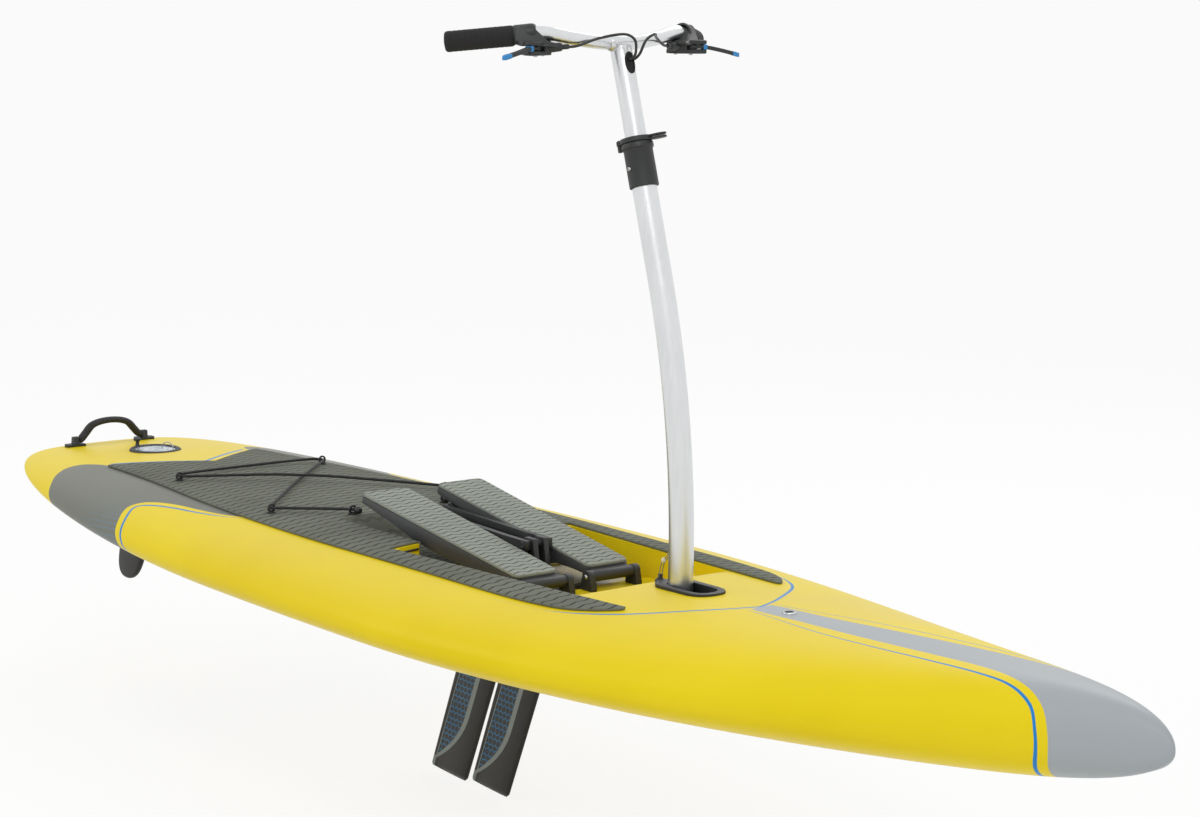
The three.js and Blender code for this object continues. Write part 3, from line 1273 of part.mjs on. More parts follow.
// The cord's places on the port half, from the ball hook to the middle of the cross run at the back.
function bungeeHalf(side, crossLift) {
  const at = (x, y, lift = 0) => [x, side * y, padTop(x, y) + EYE_LIFT + lift];
  const crossX = (AFT_EYE_X * MID_EYE_Y + MID_EYE_X * AFT_EYE_Y) / (AFT_EYE_Y + MID_EYE_Y);
  return [
    at(END_EYE_X + 8, END_EYE_Y - 4), at(END_EYE_X, END_EYE_Y), at(END_EYE_X - 10, END_EYE_Y + 6),
    at(MID_EYE_X + 16, MID_EYE_Y - 10), at(MID_EYE_X + 6, MID_EYE_Y - 2), at(MID_EYE_X, MID_EYE_Y),
    at(MID_EYE_X - 6, MID_EYE_Y - 2), at(MID_EYE_X - 16, MID_EYE_Y - 11),
    at(crossX + 40, 40, crossLift), at(crossX, 0, crossLift), at(crossX - 40, -40, crossLift),
    at(AFT_EYE_X + 14, -AFT_EYE_Y + 7), at(AFT_EYE_X + 5, -AFT_EYE_Y + 1), at(AFT_EYE_X, -AFT_EYE_Y),
    at(AFT_EYE_X - 7, -AFT_EYE_Y + 2), at(AFT_EYE_X - 12, -AFT_EYE_Y + 10),
    at(AFT_EYE_X - 13, -AFT_EYE_Y + 24),
  ];
}

function bungee() {
  const points = [...bungeeHalf(1, CROSS_LIFT), ...bungeeHalf(-1, -CROSS_LIFT).reverse()];
  const curve = smoothCurve(points);
  // Steps follow the points, so that the short bends at the eyes get as many as the long runs.
  curve.getPointAt = (share, target) => curve.getPoint(share, target);
  curve.getTangentAt = (share, target) => curve.getTangent(share, target);
  const balls = [points[0], points[points.length - 1]].map(([x, y, z]) => {
    const ball = new THREE.SphereGeometry(BALL_RADIUS, 10, 7);
    ball.translate(x + 6, y, z);
    return solid(ball);
  });
  return join(tube(curve, BUNGEE_RADIUS, points.length - 1, 8), ...balls);
}

EYES.forEach(([x, y], index) => addPiece(`deck_eye_${index + 1}`, deckEye(x, y), BLACK_NYLON));
addPiece('bungee', bungee(), BLACK_RUBBER);

export default board;
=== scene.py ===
import math

import bmesh
import bpy
import numpy as np
from mathutils import Matrix, Vector


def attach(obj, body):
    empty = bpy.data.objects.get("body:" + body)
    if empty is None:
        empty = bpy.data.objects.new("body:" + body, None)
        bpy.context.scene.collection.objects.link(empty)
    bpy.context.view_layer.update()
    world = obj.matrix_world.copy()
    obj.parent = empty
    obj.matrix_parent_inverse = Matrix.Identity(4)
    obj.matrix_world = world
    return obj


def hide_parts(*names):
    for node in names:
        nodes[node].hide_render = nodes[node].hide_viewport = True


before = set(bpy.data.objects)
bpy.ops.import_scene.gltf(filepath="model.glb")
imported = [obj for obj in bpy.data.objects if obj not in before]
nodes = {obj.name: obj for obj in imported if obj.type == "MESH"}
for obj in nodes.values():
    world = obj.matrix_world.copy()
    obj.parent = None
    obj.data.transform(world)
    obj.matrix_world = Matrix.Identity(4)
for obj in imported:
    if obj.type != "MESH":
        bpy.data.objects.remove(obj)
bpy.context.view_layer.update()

scene = bpy.context.scene
MM = 0.001
UP = Vector((0, 0, 1))

# ---------------------------------------------------------------- camera, floor and light

CAMERA_PLACE = Vector((3.852, -3.333, 1.297))
CAMERA_AZIMUTH = 0.684  # radians, from the bow towards starboard
CAMERA_DROP = 0.159
CAMERA_ROLL = 0.019
FOCAL_LENGTH = 87.83


def set_camera():
    data = bpy.data.cameras.new("camera")
    data.sensor_width = 36
    data.lens = FOCAL_LENGTH
    data.clip_end = 500
    camera = bpy.data.objects.new("camera", data)
    scene.collection.objects.link(camera)
    flat = math.cos(CAMERA_DROP)
    ahead = Vector((-math.cos(CAMERA_AZIMUTH) * flat, math.sin(CAMERA_AZIMUTH) * flat,
                    -math.sin(CAMERA_DROP)))
    right = ahead.cross(UP).normalized()
    over = right.cross(ahead)
    rolled_right = math.cos(CAMERA_ROLL) * right + math.sin(CAMERA_ROLL) * over
    rolled_over = math.cos(CAMERA_ROLL) * over - math.sin(CAMERA_ROLL) * right
    turn = Matrix((rolled_right, rolled_over, -ahead)).transposed().to_4x4()
    camera.matrix_world = Matrix.Translation(CAMERA_PLACE) @ turn
    scene.camera = camera


def linear(colour):
    """An sRGB hex colour as the linear RGBA that a socket takes."""
    def channel(pair):
        value = int(pair, 16) / 255
        return value / 12.92 if value <= 0.04045 else ((value + 0.055) / 1.055) ** 2.4
    return (channel(colour[1:3]), channel(colour[3:5]), channel(colour[5:7]), 1)


def add(tree, kind, inputs=None, **settings):
    """A new node: settings are its properties, inputs are values or the sockets that feed it."""
    made = tree.nodes.new(kind)
    for name, value in settings.items():
        setattr(made, name, value)
    for key, value in (inputs or {}).items():
        if isinstance(value, bpy.types.NodeSocket):
            tree.links.new(value, made.inputs[key])
        else:
            made.inputs[key].default_value = value
    return made


def seen_rays(tree, path):
    """1 for the rays that look at the backdrop: straight, through glass or mirrored in a glossy surface."""
    rays = [path.outputs[name] for name in ("Is Camera Ray", "Is Transmission Ray", "Is Glossy Ray")]
    direct = add(tree, "ShaderNodeMath", {0: rays[0], 1: rays[1]}, operation="MAXIMUM")
    return add(tree, "ShaderNodeMath", {0: direct.outputs[0], 1: rays[2]}, operation="MAXIMUM").outputs[0]


def set_world():
    world = bpy.data.worlds.new("studio")
    scene.world = world
    world.use_nodes = True
    tree = world.node_tree
    tree.nodes.clear()
    path = add(tree, "ShaderNodeLightPath")
    seen = seen_rays(tree, path)
    # the soft light is a little stronger from above, as under a large soft box
    where = add(tree, "ShaderNodeTexCoord")
    height = add(tree, "ShaderNodeSeparateXYZ", {0: where.outputs["Generated"]})
    ramp = add(tree, "ShaderNodeMapRange", {0: height.outputs["Z"], 1: -0.2, 2: 0.9, 3: 0.52, 4: 0.80})
    soft = add(tree, "ShaderNodeBackground", {0: linear("#ffffff"), 1: ramp.outputs[0]})
    white = add(tree, "ShaderNodeBackground", {0: linear("#ffffff"), 1: 1.0})
    both = add(tree, "ShaderNodeMixShader", {0: seen, 1: soft.outputs[0], 2: white.outputs[0]})
    add(tree, "ShaderNodeOutputWorld", {0: both.outputs[0]})


FLOOR_Z = -0.353


def set_floor():
    material = bpy.data.materials.new("painted_studio_floor")
    material.use_nodes = True
    shader = material.node_tree.nodes["Principled BSDF"]
    shader.inputs["Base Color"].default_value = linear("#f7f7f6")
    shader.inputs["Roughness"].default_value = 0.9
    shader.inputs["Specular IOR Level"].default_value = 0.1
    # seen by the camera, in glass or in metal, the floor is nearly white and keeps a light shadow
    tree = material.node_tree
    path = add(tree, "ShaderNodeLightPath")
    share = add(tree, "ShaderNodeMath", {0: seen_rays(tree, path), 1: 0.86}, operation="MULTIPLY")
    glow = add(tree, "ShaderNodeEmission", {0: linear("#ffffff"), 1: 1.0})
    both = add(tree, "ShaderNodeMixShader", {0: share.outputs[0], 1: shader.outputs[0], 2: glow.outputs[0]})
    tree.links.new(both.outputs[0], tree.nodes["Material Output"].inputs[0])
    bm = bmesh.new()
    bmesh.ops.create_grid(bm, x_segments=2, y_segments=2, size=150)
    bmesh.ops.translate(bm, verts=bm.verts, vec=(0, 0, FLOOR_Z))
    mesh = bpy.data.meshes.new("floor")
    bm.to_mesh(mesh)
    bm.free()
    floor = bpy.data.objects.new("floor", mesh)
    scene.collection.objects.link(floor)
    mesh.materials.append(material)


def add_lamp(name, place, target, size, power):
    data = bpy.data.lights.new(name, "AREA")
    data.shape = "DISK"
    data.size = size
    data.energy = power
    lamp = bpy.data.objects.new(name, data)
    scene.collection.objects.link(lamp)
    place = Vector(place)
    aim = (Vector(target) - place).to_track_quat("-Z", "Y").to_matrix().to_4x4()
    lamp.matrix_world = Matrix.Translation(place) @ aim


scene.view_settings.view_transform = "Standard"
set_camera()
set_world()
set_floor()
add_lamp("key", (2.6, -2.4, 4.2), (-0.4, 0, 0.1), 2.6, 56)
add_lamp("fill", (-3.4, -3.2, 3.0), (-0.6, 0, 0.1), 3.0, 30)
add_lamp("rim", (-2.0, 3.6, 3.2), (-0.4, 0, 0.3), 2.4, 36)

# ---------------------------------------------------------------- materials


def new_finish(name, colour, roughness, **sockets):
    """A principled material; sockets are its other constant values, by socket name with _ for a space."""
    material = bpy.data.materials.new(name)
    material.use_nodes = True
    tree = material.node_tree
    shader = tree.nodes["Principled BSDF"]
    shader.inputs["Base Color"].default_value = linear(colour)
    shader.inputs["Roughness"].default_value = roughness
    for socket, value in sockets.items():
        shader.inputs[socket.replace("_", " ")].default_value = value
    return material, tree, shader


def set_grain(tree, shader, dark, light, grain, relief, roughness, stretch=(1, 1, 1)):
    """Colour, roughness and relief that vary with a grain of a size in metres, and a broad mottle."""
    place = add(tree, "ShaderNodeTexCoord")
    stretched = add(tree, "ShaderNodeMapping", {0: place.outputs["Object"], "Scale": stretch})
    fine = add(tree, "ShaderNodeTexNoise",
               {"Vector": stretched.outputs[0], "Scale": 1 / grain, "Detail": 3})
    broad = add(tree, "ShaderNodeTexNoise", {"Vector": place.outputs["Object"], "Scale": 9, "Detail": 2})
    both = add(tree, "ShaderNodeMath", {0: fine.outputs[0], 1: broad.outputs[0]}, operation="ADD")
    share = add(tree, "ShaderNodeMapRange", {0: both.outputs[0], 1: 0.7, 2: 1.3})
    colour = add(tree, "ShaderNodeMix", {0: share.outputs[0], 6: linear(dark), 7: linear(light)},
                 data_type="RGBA")
    tree.links.new(colour.outputs[2], shader.inputs["Base Color"])
    rough = add(tree, "ShaderNodeMapRange",
                {0: both.outputs[0], 1: 0.6, 2: 1.4, 3: roughness[0], 4: roughness[1]})
    tree.links.new(rough.outputs[0], shader.inputs["Roughness"])
    bump = add(tree, "ShaderNodeBump", {"Height": fine.outputs[0], "Distance": relief, "Strength": 0.6})
    tree.links.new(bump.outputs[0], shader.inputs["Normal"])


def grained(name, dark, light, grain, relief, roughness, stretch=(1, 1, 1), **sockets):
    material, tree, shader = new_finish(name, dark, roughness[0], **sockets)
    set_grain(tree, shader, dark, light, grain, relief, roughness, stretch)
    return material


# Injection-moulded glass-filled nylon: near black, a faint spark texture, and a dull wide sheen.
BLACK_NYLON = grained("moulded_black_nylon", "#18191a", "#242627", 1.2 * MM, 0.12 * MM, (0.42, 0.6),
                      IOR=1.53)
# The pedal trays are the same nylon with a coarser texture, greyed by handling.
CHARCOAL_NYLON = grained("moulded_charcoal_nylon", "#333435", "#434546", 1.8 * MM, 0.2 * MM, (0.45, 0.62),
                         IOR=1.53)
# Moulded ABS of the shaft plates: warm cream, almost smooth.
CREAM_ABS = grained("moulded_cream_abs", "#cfcab6", "#dedac8", 2.5 * MM, 0.05 * MM, (0.34, 0.46), IOR=1.54)
# Closed-cell grip foam: black, velvety, with open pores; the pores are drawn at 1.5 mm so that they show.
GRIP_FOAM = grained("nitrile_grip_foam", "#121213", "#232324", 1.5 * MM, 0.4 * MM, (0.78, 0.95), IOR=1.5)
# Extruded PVC over the cables: black, smooth, a soft gloss along its length.
CABLE_SHEATH = grained("extruded_cable_sheath", "#131415", "#1d1e1f", 3 * MM, 0.04 * MM, (0.34, 0.46),
                       IOR=1.52)
# Satin clear-anodised aluminium tube: drawn along its length, so its fine lines run up the tube.
ANODISED = grained("anodised_aluminium", "#d6d8d9", "#dfe1e2", 5 * MM, 0.002 * MM, (0.27, 0.31),
                   stretch=(1, 1, 0.03), Metallic=1)
# Marine stainless steel, machine finished.
STEEL = grained("stainless_steel", "#a9abad", "#c6c8ca", 1.2 * MM, 0.03 * MM, (0.2, 0.34), Metallic=1)
# Stainless wire rope: grey, broken into strands too fine to draw one by one.
WIRE = grained("stainless_wire_rope", "#6f7173", "#b9bbbd", 1.0 * MM, 0.3 * MM, (0.3, 0.5), Metallic=1)
# Moulded polyamide in a clear blue, for the tips and end marks.
BLUE_NYLON = grained("moulded_blue_nylon", "#2277b4", "#2f8aca", 1.5 * MM, 0.06 * MM, (0.34, 0.46),
                     IOR=1.53)
# Rudder and fin roots: black injection-moulded composite, smooth with a slight haze.
BLACK_COMPOSITE = grained("moulded_black_composite", "#1d1c1a", "#2b2926", 4 * MM, 0.05 * MM, (0.36, 0.5),
                          IOR=1.54, Specular_IOR_Level=0.25)


def braided(name):
    """Polyester braid over rubber: matt black, two sets of yarns at 45 degrees, so it shows as a knurl.

    The yarns of 1 mm are drawn about 2 mm apart, so that they show.
    """
    material, tree, shader = new_finish(name, "#161616", 0.75, IOR=1.5)
    place = add(tree, "ShaderNodeTexCoord")
    yarns = []
    for turn in (-1, 1):
        turned_way = add(tree, "ShaderNodeMapping", {
            0: place.outputs["Object"], "Rotation": (0.6 * turn, 0.5, math.radians(45) * turn),
        })
        yarns.append(add(tree, "ShaderNodeTexWave", {
            "Vector": turned_way.outputs[0], "Scale": 1 / (6.2 * 2.4 * MM), "Distortion": 0.4,
        }).outputs[1])
    woven = add(tree, "ShaderNodeMath", {0: yarns[0], 1: yarns[1]}, operation="MAXIMUM")
    colour = add(tree, "ShaderNodeMix", {0: woven.outputs[0], 6: linear("#0c0c0c"), 7: linear("#2a2a2b")},
                 data_type="RGBA")
    tree.links.new(colour.outputs[2], shader.inputs["Base Color"])
    bump = add(tree, "ShaderNodeBump", {"Height": woven.outputs[0], "Distance": 0.5 * MM, "Strength": 0.8})
    tree.links.new(bump.outputs[0], shader.inputs["Normal"])
    return material


BUNGEE_BRAID = braided("polyester_braid")
HANDLE_WEB = braided("polyester_webbing")


def honeycomb(tree, along, across, pitch):
    """How near a point is to the border of its hexagon: 0 in a cell's middle and 0.5 on the border."""
    step = (1, math.sqrt(3), 1)
    half = tuple(side / 2 for side in step)
    flat = add(tree, "ShaderNodeCombineXYZ", {0: along, 1: across})
    cells = add(tree, "ShaderNodeVectorMath", {0: flat.outputs[0], 3: 1 / pitch}, operation="SCALE")
    shifted = add(tree, "ShaderNodeVectorMath", {0: cells.outputs[0], 1: half}, operation="ADD")
    places = [
        add(tree, "ShaderNodeVectorMath", {0: grid.outputs[0], 1: half, 2: tuple(-side for side in half)},
            operation="WRAP")
        for grid in (cells, shifted)
    ]
    lengths = [
        add(tree, "ShaderNodeVectorMath", {0: place.outputs[0]}, operation="LENGTH") for place in places
    ]
    nearer = add(tree, "ShaderNodeMath", {0: lengths[0].outputs["Value"], 1: lengths[1].outputs["Value"]},
                 operation="LESS_THAN")
    own = add(tree, "ShaderNodeMix",
              {0: nearer.outputs[0], 4: places[1].outputs[0], 5: places[0].outputs[0]}, data_type="VECTOR")
    size = add(tree, "ShaderNodeVectorMath", {0: own.outputs[1]}, operation="ABSOLUTE")
    slanted = add(tree, "ShaderNodeVectorMath", {0: size.outputs[0], 1: (0.5, math.sqrt(0.75), 0)},
                  operation="DOT_PRODUCT")
    level = add(tree, "ShaderNodeSeparateXYZ", {0: size.outputs[0]})
    return add(tree, "ShaderNodeMath", {0: slanted.outputs["Value"], 1: level.outputs[0]},
               operation="MAXIMUM").outputs[0]


def eva_foam(name, pitch, dark, light, painted_groove_shade):
    """Cut EVA deck foam: matt grey-green, with zigzag grooves across the board so that wet feet hold; the
    grooves get a darker colour, as painted shade.
    """
    material, tree, shader = new_finish(name, light, 0.85, IOR=1.45, Specular_IOR_Level=0.25)
    place = add(tree, "ShaderNodeTexCoord")
    parts = add(tree, "ShaderNodeSeparateXYZ", {0: place.outputs["Object"]})
    # one zigzag is 33 mm long and 6 mm high, and the rows are a pitch apart
    zigzag = add(tree, "ShaderNodeMath", {0: parts.outputs["Y"], 1: 16.5 * MM}, operation="PINGPONG")
    slant = add(tree, "ShaderNodeMath", {0: zigzag.outputs[0], 1: 0.36, 2: parts.outputs["X"]},
                operation="MULTIPLY_ADD")
    row = add(tree, "ShaderNodeMath", {0: slant.outputs[0], 1: pitch / 2}, operation="PINGPONG")
    # painted shade: every second leg of the zigzag gets a thinner dark groove than the one before it, as
    # the light falls on the two legs from different sides
    period = add(tree, "ShaderNodeMath", {0: parts.outputs["Y"], 1: 33 * MM}, operation="FLOORED_MODULO")
    leg = add(tree, "ShaderNodeMapRange", {0: period.outputs[0], 1: 15.5 * MM, 2: 17.5 * MM})
    width = add(tree, "ShaderNodeMath", {0: leg.outputs[0], 1: -0.05 * pitch, 2: 0.17 * pitch},
                operation="MULTIPLY_ADD")
    cut = add(tree, "ShaderNodeMapRange", {0: row.outputs[0], 1: 0.4 * MM, 2: width.outputs[0]},
              interpolation_type="SMOOTHSTEP")
    # the pad's sheared sides show no grooves
    facing = add(tree, "ShaderNodeSeparateXYZ", {0: place.outputs["Normal"]})
    side = add(tree, "ShaderNodeMapRange", {0: facing.outputs["Z"], 1: 0.85, 2: 0.6})
    groove = add(tree, "ShaderNodeMath", {0: cut.outputs[0], 1: side.outputs[0]}, operation="MAXIMUM")
    foam = add(tree, "ShaderNodeTexNoise",
               {"Vector": place.outputs["Object"], "Scale": 1 / (2 * MM), "Detail": 2})
    mottle = add(tree, "ShaderNodeTexNoise", {"Vector": place.outputs["Object"], "Scale": 7, "Detail": 3})
    cloud = add(tree, "ShaderNodeMath", {0: foam.outputs[0], 1: mottle.outputs[0]}, operation="ADD")
    share = add(tree, "ShaderNodeMapRange", {0: cloud.outputs[0], 1: 0.65, 2: 1.35})
    top = add(tree, "ShaderNodeMix", {0: share.outputs[0], 6: linear(dark), 7: linear(light)},
              data_type="RGBA")
    # the grooves take the darker colour: painted shade in them
    colour = add(tree, "ShaderNodeMix", {0: groove.outputs[0], 6: linear(painted_groove_shade), 7: top.outputs[2]},
                 data_type="RGBA")
    tree.links.new(colour.outputs[2], shader.inputs["Base Color"])
    depth = add(tree, "ShaderNodeMath", {0: foam.outputs[0], 1: 0.12, 2: groove.outputs[0]},
                operation="MULTIPLY_ADD")
    bump = add(tree, "ShaderNodeBump", {"Height": depth.outputs[0], "Distance": 1.2 * MM, "Strength": 0.8})
    tree.links.new(bump.outputs[0], shader.inputs["Normal"])
    return material


# the last colour of each foam is the painted shade in its grooves
EVA_DECK = eva_foam("cut_eva_foam_deck", 24 * MM, "#63665b", "#76796e", "#31332c")
EVA_PEDAL = eva_foam("cut_eva_foam_pedal", 15 * MM, "#8d9289", "#9ba097", "#4c5049")

BLUE = "#2b83c9"
GREY = "#a6acb0"
YELLOW = "#e8cd14"
PRINT_BLUR = 0.5 * MM  # half the width over which a printed edge changes colour


def hull_finish():
    """Thermoformed ABS with an acrylic cap: deep even colour, a soft gloss, and printed bands and lines."""
    material, tree, shader = new_finish("acrylic_capped_abs", YELLOW, 0.26, IOR=1.49,
                                        Specular_IOR_Level=0.12)
    place = add(tree, "ShaderNodeTexCoord")
    parts = add(tree, "ShaderNodeSeparateXYZ", {0: place.outputs["Object"]})
    edges = {
        name: add(tree, "ShaderNodeAttribute", attribute_name=name).outputs["Fac"]
        for name in ("nose_edge", "nose_line", "stern_edge", "side_edge", "cockpit_edge", "notch_edge",
                     "girth")
    }

    # values that change along the board, each from one station to another and from one value to another
    runs = {
        name: add(tree, "ShaderNodeMapRange", {
            0: parts.outputs["X"], 1: start, 2: end, 3: first, 4: last,
        }).outputs[0]
        for name, (start, end, first, last) in {
            "hexagons": (-1.52, -1.27, 0, 0.55),
            "side_start": (-1.02, -1.12, 0, 1),
            "side_width": (-1.02, -1.22, 1.2 * MM, 3.0 * MM),
            "side_offset": (-1.05, -1.26, 8 * MM, 18 * MM),
            "nose_start": (0.21, 0.24, 0, 1),
            "nose_width": (0.3, 0.9, 1.0 * MM, 2.7 * MM),
            "cockpit_width": (-0.06, 0.05, 0, 3.0 * MM),
        }.items()
    }

    def line(edge, offset, half_width):
        """1 on a stripe beside an edge, where the edge's distance is within half_width of the offset."""
        away = add(tree, "ShaderNodeMath", {0: edge, 1: offset}, operation="SUBTRACT")
        size = add(tree, "ShaderNodeMath", {0: away.outputs[0]}, operation="ABSOLUTE")
        left = add(tree, "ShaderNodeMath", {0: half_width, 1: size.outputs[0]}, operation="SUBTRACT")
        return add(tree, "ShaderNodeMapRange",
                   {0: left.outputs[0], 1: -PRINT_BLUR, 2: PRINT_BLUR}).outputs[0]

    mottle = add(tree, "ShaderNodeTexNoise", {"Vector": place.outputs["Object"], "Scale": 3.5, "Detail": 2})
    share = add(tree, "ShaderNodeMapRange", {0: mottle.outputs[0], 1: 0.1, 2: 0.9},
                interpolation_type="SMOOTHSTEP")
    yellow = add(tree, "ShaderNodeMix", {0: share.outputs[0], 6: linear("#e3c80e"), 7: linear("#ecd41c")},
                 data_type="RGBA").outputs[2]

    # grey band of the quarter: outside the stern tip and outside the yellow side panel, with blue hexagons
    # that fade in towards its lower front corner
    outside = add(tree, "ShaderNodeMath", {0: edges["stern_edge"], 1: edges["side_edge"]},
                  operation="MAXIMUM")
    yellow_share = add(tree, "ShaderNodeMapRange", {0: outside.outputs[0], 1: -PRINT_BLUR, 2: PRINT_BLUR})
    band = add(tree, "ShaderNodeMath", {0: 1, 1: yellow_share.outputs[0]}, operation="SUBTRACT")
    hexes = honeycomb(tree, parts.outputs["X"], edges["girth"], 15 * MM)
    hex_line = add(tree, "ShaderNodeMapRange", {0: hexes, 1: 0.44, 2: 0.5})
    low = add(tree, "ShaderNodeMapRange", {0: parts.outputs["Z"], 1: 0.135, 2: 0.112, 3: 0, 4: 1})
    faded = add(tree, "ShaderNodeMath", {0: runs["hexagons"], 1: low.outputs[0]}, operation="MULTIPLY")
    hex_mask = add(tree, "ShaderNodeMath", {0: hex_line.outputs[0], 1: faded.outputs[0]},
                   operation="MULTIPLY")
    quarter_grey = add(tree, "ShaderNodeMix", {
        0: hex_mask.outputs[0], 6: linear("#73756c"), 7: linear("#5f8fb4"),
    }, data_type="RGBA")
    colour = add(tree, "ShaderNodeMix", {0: band.outputs[0], 6: yellow, 7: quarter_grey.outputs[2]},
                 data_type="RGBA").outputs[2]

    widths = {
        name: add(tree, "ShaderNodeMath", {0: runs[f"{name}_width"], 1: runs[f"{name}_start"]},
                  operation="MULTIPLY").outputs[0]
        for name in ("side", "nose")
    }
    # the line beside the pad's notch stops where the pad's corners do
    notch_width = add(tree, "ShaderNodeMapRange",
                      {0: edges["girth"], 1: 0.172, 2: 0.168, 3: 0, 4: 3.8 * MM})
    nose = add(tree, "ShaderNodeMapRange", {0: edges["nose_edge"], 1: -PRINT_BLUR, 2: PRINT_BLUR})
    prints = (
        (line(edges["side_edge"], runs["side_offset"], widths["side"]), BLUE),
        (line(edges["notch_edge"], -30 * MM, notch_width.outputs[0]), BLUE),
        (nose.outputs[0], GREY),
        (line(edges["nose_line"], 0.0, widths["nose"]), BLUE),
        (line(edges["cockpit_edge"], 0.0, runs["cockpit_width"]), BLUE),
    )
    for mask, ink in prints:
        colour = add(tree, "ShaderNodeMix", {0: mask, 6: colour, 7: linear(ink)},
                     data_type="RGBA").outputs[2]
    tree.links.new(colour, shader.inputs["Base Color"])

    # the formed sheet's slow waves, about 90 mm long, and hazier patches from handling; its orange peel of
    # a few tenths of a millimetre is too fine to draw
    peel = add(tree, "ShaderNodeTexNoise",
               {"Vector": place.outputs["Object"], "Scale": 1 / (90 * MM), "Detail": 1})
    bump = add(tree, "ShaderNodeBump", {"Height": peel.outputs[0], "Distance": 0.4 * MM, "Strength": 0.5})
    tree.links.new(bump.outputs[0], shader.inputs["Normal"])
    haze = add(tree, "ShaderNodeMapRange", {0: mottle.outputs[0], 1: 0.1, 2: 0.9, 3: 0.30, 4: 0.40},
               interpolation_type="SMOOTHSTEP")
    tree.links.new(haze.outputs[0], shader.inputs["Roughness"])
    return material


def fin_finish():
    """Glass-filled composite blade: smoky black, with a printed honeycomb panel and grey edging lines."""
    material, tree, shader = new_finish("printed_composite_blade", "#24221e", 0.4, IOR=1.54,
                                        Specular_IOR_Level=0.25)
    chord = add(tree, "ShaderNodeAttribute", attribute_name="chord").outputs["Fac"]
    span = add(tree, "ShaderNodeAttribute", attribute_name="span").outputs["Fac"]
    place = add(tree, "ShaderNodeTexCoord")
    smoke = add(tree, "ShaderNodeTexNoise", {"Vector": place.outputs["Object"], "Scale": 14, "Detail": 3})
    share = add(tree, "ShaderNodeMapRange", {0: smoke.outputs[0], 1: 0.3, 2: 0.7})
    dark = add(tree, "ShaderNodeMix", {0: share.outputs[0], 6: linear("#1f1d19"), 7: linear("#2a2824")},
               data_type="RGBA").outputs[2]
    # the panel's front edge runs straight down the blade, then swings aft to the trailing corner
    swing = add(tree, "ShaderNodeMapRange", {0: span, 1: 0.200, 2: 0.318, 3: 0, 4: 1})
    bend = add(tree, "ShaderNodeMath", {0: swing.outputs[0], 1: 2.4}, operation="POWER")
    edge = add(tree, "ShaderNodeMath", {0: bend.outputs[0], 1: 72 * MM, 2: 54 * MM},
               operation="MULTIPLY_ADD")
    from_edge = add(tree, "ShaderNodeMath", {0: chord, 1: edge.outputs[0]}, operation="SUBTRACT").outputs[0]
    tail_line = add(tree, "ShaderNodeMath", {0: 113 * MM, 1: chord}, operation="SUBTRACT").outputs[0]
    panel = add(tree, "ShaderNodeMath", {0: from_edge, 1: tail_line}, operation="MINIMUM").outputs[0]
    cells = honeycomb(tree, chord, span, 14 * MM)
    cell_line = add(tree, "ShaderNodeMapRange", {0: cells, 1: 0.45, 2: 0.475}).outputs[0]
    in_panel = add(tree, "ShaderNodeMapRange", {0: panel, 1: 0, 2: 1 * MM}).outputs[0]
    printed = add(tree, "ShaderNodeMath", {0: cell_line, 1: in_panel}, operation="MULTIPLY").outputs[0]
    colour = add(tree, "ShaderNodeMix", {0: printed, 6: dark, 7: linear("#2a74ad")},
                 data_type="RGBA").outputs[2]
    for distance, middle, half in ((from_edge, -7 * MM, 7 * MM), (tail_line, 0.0, 1.1 * MM)):
        away = add(tree, "ShaderNodeMath", {0: distance, 1: middle}, operation="SUBTRACT")
        size = add(tree, "ShaderNodeMath", {0: away.outputs[0]}, operation="ABSOLUTE")
        stripe = add(tree, "ShaderNodeMapRange",
                     {0: size.outputs[0], 1: half + 0.4 * MM, 2: half - 0.4 * MM})
        colour = add(tree, "ShaderNodeMix", {0: stripe.outputs[0], 6: colour, 7: linear("#848e93")},
                     data_type="RGBA").outputs[2]
    tree.links.new(colour, shader.inputs["Base Color"])
    rough = add(tree, "ShaderNodeMapRange", {0: smoke.outputs[0], 1: 0.3, 2: 0.7, 3: 0.34, 4: 0.5})
    tree.links.new(rough.outputs[0], shader.inputs["Roughness"])
    bump = add(tree, "ShaderNodeBump", {"Height": cell_line, "Distance": 0.15 * MM, "Strength": 0.4})
    tree.links.new(bump.outputs[0], shader.inputs["Normal"])
    return material


def lens_finish():
    """Moulded clear polycarbonate over the pale cable drum: grey-blue, glossy, faintly hazed."""
    material, tree, shader = new_finish("clear_polycarbonate", "#a9b7c2", 0.12, IOR=1.58)
    place = add(tree, "ShaderNodeTexCoord")
    haze = add(tree, "ShaderNodeTexNoise", {"Vector": place.outputs["Object"], "Scale": 55, "Detail": 3})
    share = add(tree, "ShaderNodeMapRange", {0: haze.outputs[0], 1: 0.35, 2: 0.65})
    colour = add(tree, "ShaderNodeMix", {0: share.outputs[0], 6: linear("#7f909d"), 7: linear("#c9d2d9")},
                 data_type="RGBA")
    tree.links.new(colour.outputs[2], shader.inputs["Base Color"])
    rough = add(tree, "ShaderNodeMapRange", {0: haze.outputs[0], 1: 0.35, 2: 0.65, 3: 0.08, 4: 0.22})
    tree.links.new(rough.outputs[0], shader.inputs["Roughness"])
    return material


HULL_SHELL = hull_finish()
BLADE = fin_finish()
LENS = lens_finish()

# ---------------------------------------------------------------- making pieces


